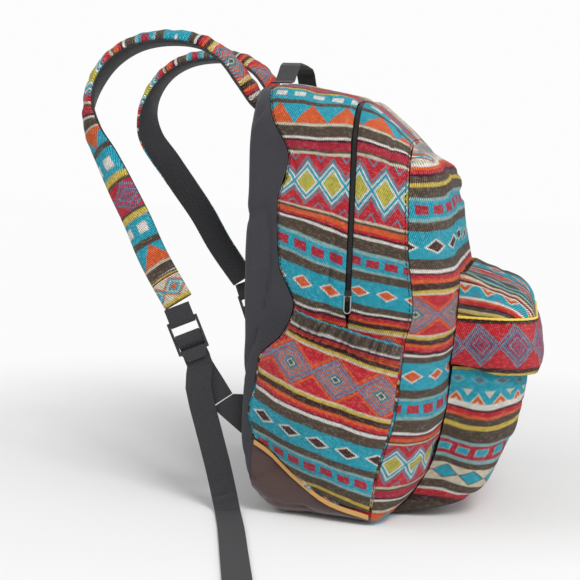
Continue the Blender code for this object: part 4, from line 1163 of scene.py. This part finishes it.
def plan_ring(half, corner, face, z, steps=14):
    """Points round the pocket at one height, from the front panel round the front and back to it."""
    back = front_depth(half, z, HALF_WIDTH) - 0.0015
    depth = max(back - face, 0.002)
    turn = min(corner, depth * 0.9)
    points = [(-half, back - (depth - turn) * i / 10, z) for i in range(10)]
    for i in range(steps + 1):
        angle = pi / 2 * i / steps
        points.append((-half + turn * (1 - cos(angle)), back - depth + turn * (1 - sin(angle)), z))
    for i in range(1, 25):
        points.append(((-half + turn) * (1 - i / 24), back - depth, z))
    return points + [(-p[0], p[1], p[2]) for p in points[-2::-1]]


def pocket_rows(profile, half, corner, heights):
    """Grid of a pocket between heights of its profile, given as (Y, height)."""
    by_height = [(z, y) for y, z in profile]
    return np.array([plan_ring(half, corner, curve(by_height, z), z) for z in heights])


def run_across(points):
    """Distance along each row from its middle."""
    steps = np.linalg.norm(np.diff(points, axis=1), axis=2)
    run = np.concatenate([np.zeros((len(points), 1)), np.cumsum(steps, axis=1)], axis=1)
    return run - run[:, run.shape[1] // 2][:, None]


class DAYPACK_OT_front_pocket(bpy.types.Operator):
    """Front pocket: lower body, skirt, crowned top and the twisted yellow seam between them"""
    bl_idname = "daypack.front_pocket"
    bl_label = "Front pocket"

    def execute(self, context):
        looks = context.scene.daypack_looks
        heights = [0.003 + (0.151 - 0.003) * (k / 50) ** 1.3 for k in range(51)]
        points = pocket_rows(POCKET_FACE, POCKET_HALF, POCKET_CORNER, heights)
        under = points[0].copy()
        under[:, 1] = np.minimum(-0.0440, under[:, 1].max() - 0.001)
        under[:, 2] = 0.0016
        points = np.concatenate([under[None], points])
        _, y, z = np.moveaxis(points, 2, 0)
        run = run_across(points)
        hold = ease((POCKET_HALF + 0.06 - np.abs(run) * 0.55) / 0.02) * ease(z / 0.02)
        folds = crumple(run + 1, z * 1.5 + 1, 91, 0.05) * looks.fold_depth * 1.3
        small = crumple(run + 1, z + 1, 93, 0.017) * looks.fold_depth * 0.4
        creases = ridges(run * 0.8 + 2, z + 2, 97, 0.05) * looks.fold_depth * 1.2
        gather = np.sin(run * 2 * pi / 0.016 + 2 * crumple(run, z, 99, 0.05))
        gather = gather * np.exp(-(0.152 - z) / 0.012) * 0.0008
        relief = (folds + small - creases + gather) * hold
        forward = np.clip((-0.100 - y) / 0.073, 0.0, 1.0)
        sag = 0.006 * np.sin(pi * forward) - 0.006 * ease((forward - 0.5) / 0.5)
        sag = sag * ease((0.152 - z) / 0.05)
        uv = np.stack([run + 0.5, POCKET_MARK + 0.003 + (0.1485 - z - sag) * 0.94], axis=2)
        wall("front_pocket_cloth", points, uv, relief, (0, -0.08, 0.08), node=("front_pocket",))
        self.hood(looks)
        paint("pocket_zip", "zip_tape")
        need("front_pocket_cloth", "pocket_skirt_cloth", "pocket_crown_cloth", "pocket_seam_cord")
        return {"FINISHED"}

    def hood(self, looks):
        """The skirt over the pocket's mouth, the crown above it and the cord in their seam."""
        corner = POCKET_CORNER + HOOD_HALF - POCKET_HALF
        heights = [HOOD_HEM + (HOOD_SEAM - HOOD_HEM) * k / 24 for k in range(25)]
        skirt = pocket_rows(HOOD_FACE, HOOD_HALF, corner, heights)
        dip = 0.008 * ease((skirt[..., 1] + 0.150) / 0.045)
        blend = (HOOD_SEAM - skirt[..., 2]) / (HOOD_SEAM - HOOD_HEM)
        skirt[..., 2] += dip * blend
        run = run_across(skirt)
        share = 1 - blend
        bow = np.sin(pi * share) * 0.0022
        folds = crumple(run + 1, skirt[..., 2] * 2, 101, 0.04) * looks.fold_depth * 1.2
        pucker = np.sin(run * 2 * pi / 0.014) * np.exp(-blend / 0.25) * 0.0006
        relief = bow + (folds + pucker) * ease(share / 0.1) * ease(blend / 0.12)
        uv = np.stack([run + 0.505, SKIRT_MARK + 0.008 + (HOOD_SEAM - skirt[..., 2]) * 0.93], axis=2)
        wall("pocket_skirt_cloth", skirt, uv, relief, (0, -0.10, 0.17), HOOD_CLOTH,
             node=("pocket_hood",))
        heights = [HOOD_SEAM + 0.0004 + (0.2415 - HOOD_SEAM) * sin(pi / 2 * k / 30) for k in range(31)]
        crown = pocket_rows(HOOD_FACE + ((-0.110, 0.243),), HOOD_HALF, corner, heights)
        x, y, z = np.moveaxis(crown, 2, 0)
        folds = crumple(x + 1, y * 1.4 + 1 + z, 111, 0.045) * looks.fold_depth * 1.6
        folds = folds - ridges(x + 2, y * 1.2 + 2 + z, 113, 0.04) * looks.fold_depth
        share = (z - HOOD_SEAM) / 0.043
        bow = 0.002 * np.sin(pi * np.clip(share, 0, 1))
        relief = bow + folds * ease(share / 0.2) * ease((1 - share) / 0.15)
        roll = CROWN_MARK + (x + HOOD_HALF) + (z - HOOD_SEAM) - 0.10 * (y + 0.110)
        uv = np.stack([y + 0.5, roll], axis=2)
        wall("pocket_crown_cloth", crown, uv, relief, (0, -0.10, 0.17), HOOD_CLOTH)
        line = skirt[-1] + np.array((0, 0, 0.0002))
        twisted_cord("pocket_seam_cord", line, 0.0013, (0, -0.10, 0.19))


def twisted_cord(name, line, radius, centre):
    """Two-ply cord laid along a run of points, as a tube whose section turns."""
    points = [Vector(p) for p in line]
    fine = smooth_route(points[::2] + [points[-1]], 6)
    rings = []
    travelled = 0.0
    for i, p in enumerate(fine):
        ahead = (fine[min(i + 1, len(fine) - 1)] - fine[max(i - 1, 0)]).normalized()
        out = (p - Vector(centre)).normalized()
        side = ahead.cross(out).normalized()
        out = side.cross(ahead).normalized()
        if i:
            travelled += (p - fine[i - 1]).length
        turn = travelled / 0.006 * pi
        ring = []
        for k in range(10):
            angle = 2 * pi * k / 10
            reach = radius * (0.72 + 0.28 * abs(cos(angle - turn)))
            ring.append(p + out * (radius * 0.6) + (out * cos(angle) + side * sin(angle)) * reach)
        rings.append(ring)
    tube(name, rings, "yellow_cord", slot="woven_cloth")


def tube(name, rings, finish, node=(), slot=None, uv_of=None):
    """A capped tube through closed rings."""
    count = len(rings[0])
    verts = [tuple(p) for ring in rings for p in ring]
    faces = []
    for i in range(len(rings) - 1):
        for j in range(count):
            k = (j + 1) % count
            faces.append((i * count + j, i * count + k, (i + 1) * count + k, (i + 1) * count + j))
    faces.append(tuple(range(count)))
    faces.append(tuple(range(len(verts) - count, len(verts))))
    mesh = bpy.data.meshes.new(name)
    mesh.from_pydata(verts, [], faces)
    if uv_of is not None:
        layer = mesh.uv_layers.new(name="cloth")
        flat = [uv_of[index] for face in faces for index in face]
        layer.data.foreach_set("uv", np.array(flat, dtype=np.float32).ravel())
    return place(name, mesh, finish, node, slot)


# Straps


def strap_frames(side):
    """Points along a strap, each with the directions across it and out of its face."""
    route, faces = smooth_route(STRAP_ROUTE, 36), smooth_route(STRAP_FACES, 36)
    made = []
    for i, point in enumerate(route):
        ahead = (route[min(i + 1, len(route) - 1)] - route[max(i - 1, 0)]).normalized()
        face = (faces[i] - ahead * faces[i].dot(ahead)).normalized()
        across = ahead.cross(face).normalized()
        if side > 0:
            point, across, face = (mirrored(v) for v in (point, across, face))
        made.append((point, across, face))
    return made


class DAYPACK_OT_straps(bpy.types.Operator):
    """Padded shoulder straps with a woven face and a black lining"""
    bl_idname = "daypack.straps"
    bl_label = "Straps"

    def execute(self, context):
        for name, side in (("left", -1), ("right", 1)):
            self.strap(name, side)
            need("shoulder_strap_cloth_" + name, "strap_lining_cloth_" + name)
        return {"FINISHED"}

    def strap(self, name, side):
        """One strap, from the back panel to its ladder lock: a padded top and its lining."""
        frames = strap_frames(side)
        rings, coords, lining = [], [], []
        travelled = 0.0
        count = len(frames) - 1
        whole = sum((frames[k + 1][0] - frames[k][0]).length for k in range(count))
        for i, (point, across, face) in enumerate(frames):
            if i:
                travelled += (point - frames[i - 1][0]).length
            share = float(ease(i / count * 1.1))
            half = (STRAP_WIDTH_TOP + (STRAP_WIDTH_END - STRAP_WIDTH_TOP) * share) / 2
            thick = STRAP_PAD + (STRAP_PAD_END - STRAP_PAD) * share
            turn = travelled * 2 * pi
            ripple = 0.0006 * sin(turn / 0.021) + 0.0004 * sin(turn / 0.0127 + 1)
            section = []
            for k in range(17):
                w = -1 + 2 * k / 16
                top = thick * (0.62 - 0.80 * abs(w) ** 3.0) + ripple * (1 - abs(w))
                section.append((w * half, top))
            section += [(half * 0.99, -thick * 0.38), (half * 0.94, -thick / 2), (-half * 0.94, -thick / 2),
                        (-half * 0.99, -thick * 0.38)]
            rings.append([point + across * u + face * v for u, v in section])
            row = float(straight(STRAP_ROLL, whole - travelled))
            coords += [(u + 0.5, row) for u, v in section]
            top = -thick / 2 - 0.0002
            edge = half * 0.97
            lining.append([point + across * u + face * v for u, v in
                           ((edge, top), (-edge, top), (-edge, top - 0.0012), (-edge * 0.9, top - 0.0024),
                            (edge * 0.9, top - 0.0024), (edge, top - 0.0012))])
        for ring in (rings[0], lining[0]):
            for p in ring:
                p.y = BACK_Y + GAP
        strap = tube("shoulder_strap_cloth_" + name, rings, "woven_cloth", node=("shoulder_strap_" + name,),
                     uv_of=coords)
        tube("strap_lining_cloth_" + name, lining, "black_webbing", node=("strap_lining_" + name,))


class DAYPACK_OT_webbing(bpy.types.Operator):
    """Webbing, its tabs, the haul loop and the ladder locks"""
    bl_idname = "daypack.webbing"
    bl_label = "Webbing and locks"

    def execute(self, context):
        for side in ("left", "right"):
            for node in ("lower_webbing_", "strap_tab_", "corner_tab_"):
                paint(node + side, "black_webbing", 0.0004)
            paint("ladder_lock_" + side, "black_plastic", 0.0006)
        paint("haul_loop", "black_webbing", 0.0004)
        return {"FINISHED"}


class DAYPACK_OT_zips(bpy.types.Operator):
    """Zips, sliders and pulls"""
    bl_idname = "daypack.zips"
    bl_label = "Zips"

    def execute(self, context):
        paint("main_zip", "zip_tape")
        places = steps_between((ZIP_HIGH_INDEX + 1, SIDE_END, 24), (SIDE_END, ARC_END, 12),
                               (ARC_END, TOP_INDEX, 12))
        half = [ring_point(lambda z: ZIP_Y, k, COIL_DEPTH) for k in places]
        above = [ring_point(lambda z: ZIP_Y, k) for k in places]
        outs = [(b - a).normalized() for a, b in zip(half, above)]
        run, outs = ([*side[:-1], *(mirrored(v) for v in side[::-1])] for side in (half, outs))
        repeat_along("main_zip_coil", run, outs, *COIL, "slider_metal")
        need("main_zip_coil")
        for node in ("main_slider", "pocket_slider"):
            paint(node, "slider_metal", 0.00025)
        for node in ("main_pull", "pocket_pull"):
            paint(node, "zip_metal")
        return {"FINISHED"}


# Stage

FLOOR_REACH = 9.0
FLOOR_Z = -0.0006
# Lamps: name, place, size and power
LAMPS = (("key", (-1.5, -1.0, 2.0), 0.9, 34), ("front", (-0.9, -2.2, 1.1), 1.4, 13),
         ("back", (-0.6, 2.0, 1.6), 1.4, 13))


class DAYPACK_OT_stage(bpy.types.Operator):
    """Pale floor, soft lights and the camera"""
    bl_idname = "daypack.stage"
    bl_label = "Stage"

    def execute(self, context):
        scene = context.scene
        looks = scene.daypack_looks
        mesh = bpy.data.meshes.new("floor")
        corners = ((-1, -1), (1, -1), (1, 1), (-1, 1))
        mesh.from_pydata([(x * FLOOR_REACH, y * FLOOR_REACH, FLOOR_Z) for x, y in corners], [],
                         [(0, 1, 2, 3)])
        floor = bpy.data.objects.new("floor", mesh)
        scene.collection.objects.link(floor)
        made, n, shader = new_material("pale_floor", 0.9, 0.1)
        spot = n.spot()
        shader.inputs["Base Color"].default_value = (0.92, 0.92, 0.92, 1.0)
        away = n.add("ShaderNodeVectorMath", operation="LENGTH")
        n.link(spot, away.inputs[0])
        fade = n.add("ShaderNodeMapRange", interpolation_type="SMOOTHSTEP")
        n.link(away.outputs["Value"], fade.inputs["Value"])
        fade.inputs["From Min"].default_value = 0.25
        fade.inputs["From Max"].default_value = 0.95
        glow = n.add("ShaderNodeEmission")
        glow.inputs["Color"].default_value = (1.0, 1.0, 1.0, 1.0)
        rays = n.add("ShaderNodeLightPath").outputs
        n.link(n.math("MULTIPLY_ADD", rays["Is Camera Ray"], 0.25, 0.72), glow.inputs["Strength"])
        joined = n.add("ShaderNodeMixShader")
        n.link(fade.outputs["Result"], joined.inputs[0])
        n.link(shader.outputs[0], joined.inputs[1])
        n.link(glow.outputs[0], joined.inputs[2])
        n.link(joined.outputs[0], made.node_tree.nodes["Material Output"].inputs["Surface"])
        mesh.materials.append(made)
        self.lamps(scene)
        self.world(scene)
        self.camera(scene, looks)
        scene.view_settings.view_transform = "Standard"
        return {"FINISHED"}

    def lamps(self, scene):
        """Soft lamps, aimed at the middle of the bag."""
        for name, spot, size, power in LAMPS:
            lamp = bpy.data.lights.new(name, "AREA")
            lamp.size = size
            lamp.energy = power
            item = bpy.data.objects.new(name, lamp)
            item.location = spot
            item.rotation_euler = (Vector((0, 0, 0.2)) - Vector(spot)).to_track_quat("-Z", "Y").to_euler()
            scene.collection.objects.link(item)

    def world(self, scene):
        """White all round, brighter to the camera than as light."""
        world = bpy.data.worlds.new("studio")
        scene.world = world
        world.use_nodes = True
        n = Nodes(world.node_tree)
        back = world.node_tree.nodes["Background"]
        rays = n.add("ShaderNodeLightPath").outputs
        seen = n.math("MAXIMUM", rays["Is Glossy Ray"], rays["Is Transmission Ray"])
        seen = n.math("MAXIMUM", rays["Is Camera Ray"], seen)
        back.inputs["Color"].default_value = (1, 1, 1, 1)
        n.link(n.math("MULTIPLY_ADD", seen, 0.50, 0.48), back.inputs["Strength"])

    def camera(self, scene, looks):
        """The camera of the photograph, from its heading, pitch and roll."""
        heading, pitch, roll = looks.heading, looks.pitch, looks.roll
        ahead = Vector((cos(heading) * cos(pitch), sin(heading) * cos(pitch), sin(pitch)))
        right = ahead.cross(Vector((0, 0, 1))).normalized()
        up = right.cross(ahead)
        turned = right * cos(roll) + up * sin(roll)
        up = up * cos(roll) - right * sin(roll)
        lens = bpy.data.cameras.new("camera")
        lens.sensor_width = 36.0
        lens.lens = looks.lens
        lens.clip_start = 0.01
        item = bpy.data.objects.new("camera", lens)
        item.matrix_world = Matrix((turned, up, -ahead)).transposed().to_4x4()
        item.location = looks.stand
        scene.collection.objects.link(item)
        scene.camera = item


class DaypackLooks(bpy.types.PropertyGroup):
    """Sizes and colours that shape the looks"""
    fold_depth: FloatProperty(name="Fold depth", description="Height of the folds in the cloth",
                              default=0.0016, min=0.0, max=0.004, unit="LENGTH", precision=4)
    thread: FloatProperty(name="Thread pitch", description="Distance between ribs of the weave",
                          default=0.0019, min=0.0005, max=0.004, unit="LENGTH", precision=4)
    gathers: IntProperty(name="Gathers", description="Gathers across a side pocket's hem", default=13,
                         min=6, max=30)
    cloth_sheen: FloatProperty(name="Cloth sheen", description="Soft fuzz on the woven cloth", default=0.12,
                               min=0.0, max=1.0, subtype="FACTOR")
    charcoal: FloatVectorProperty(name="Back panel", description="Colour of the back panel",
                                  subtype="COLOR", default=(0.036, 0.036, 0.042), min=0.0, max=1.0)
    suede: FloatVectorProperty(name="Boot", description="Colour of the suede boot", subtype="COLOR",
                               default=(0.066, 0.039, 0.036), min=0.0, max=1.0)
    gold: FloatVectorProperty(name="Boot tape", description="Colour of the tape above the boot",
                              subtype="COLOR", default=(0.48, 0.27, 0.09), min=0.0, max=1.0)
    lens: FloatProperty(name="Lens", description="Focal length of the camera in millimetres", default=70.5,
                        min=20.0, max=200.0)
    heading: FloatProperty(name="Heading", description="Direction in which the camera looks, from +X",
                           default=radians(11.42), subtype="ANGLE")
    pitch: FloatProperty(name="Pitch", description="How far the camera looks up", default=radians(-5.82),
                         subtype="ANGLE")
    roll: FloatProperty(name="Roll", description="How far the camera is turned on its axis",
                        default=radians(2.08), subtype="ANGLE")
    stand: FloatVectorProperty(name="Stand", description="Where the camera stands", subtype="TRANSLATION",
                               default=(-1.189, -0.161, 0.328), unit="LENGTH")


class DAYPACK_PT_panel(bpy.types.Panel):
    """Lists the daypack's pieces"""
    bl_idname = "DAYPACK_PT_panel"
    bl_label = "Daypack"
    bl_space_type = "VIEW_3D"
    bl_region_type = "UI"
    bl_category = "Daypack"

    def draw(self, context):
        column = self.layout.column()
        for operator in PIECES:
            column.operator(operator.bl_idname)
        looks = context.scene.daypack_looks
        for name in DaypackLooks.__annotations__:
            column.prop(looks, name)


PIECES = (DAYPACK_OT_gussets, DAYPACK_OT_front_panel, DAYPACK_OT_back_panel, DAYPACK_OT_boot,
          DAYPACK_OT_side_pockets, DAYPACK_OT_front_pocket, DAYPACK_OT_straps, DAYPACK_OT_webbing,
          DAYPACK_OT_zips, DAYPACK_OT_stage)
CLASSES = (DaypackLooks, *PIECES, DAYPACK_PT_panel)


def register():
    for item in CLASSES:
        bpy.utils.register_class(item)
    bpy.types.Scene.daypack_looks = PointerProperty(type=DaypackLooks)


def unregister():
    del bpy.types.Scene.daypack_looks
    for item in reversed(CLASSES):
        bpy.utils.unregister_class(item)


def main():
    register()
    bpy.ops.daypack.stage()
    bpy.ops.daypack.gussets()
    bpy.ops.daypack.front_panel()
    bpy.ops.daypack.back_panel()
    bpy.ops.daypack.boot()
    bpy.ops.daypack.side_pockets()
    bpy.ops.daypack.front_pocket()
    bpy.ops.daypack.straps()
    bpy.ops.daypack.webbing()
    bpy.ops.daypack.zips()


if __name__ == "__main__":
    main()
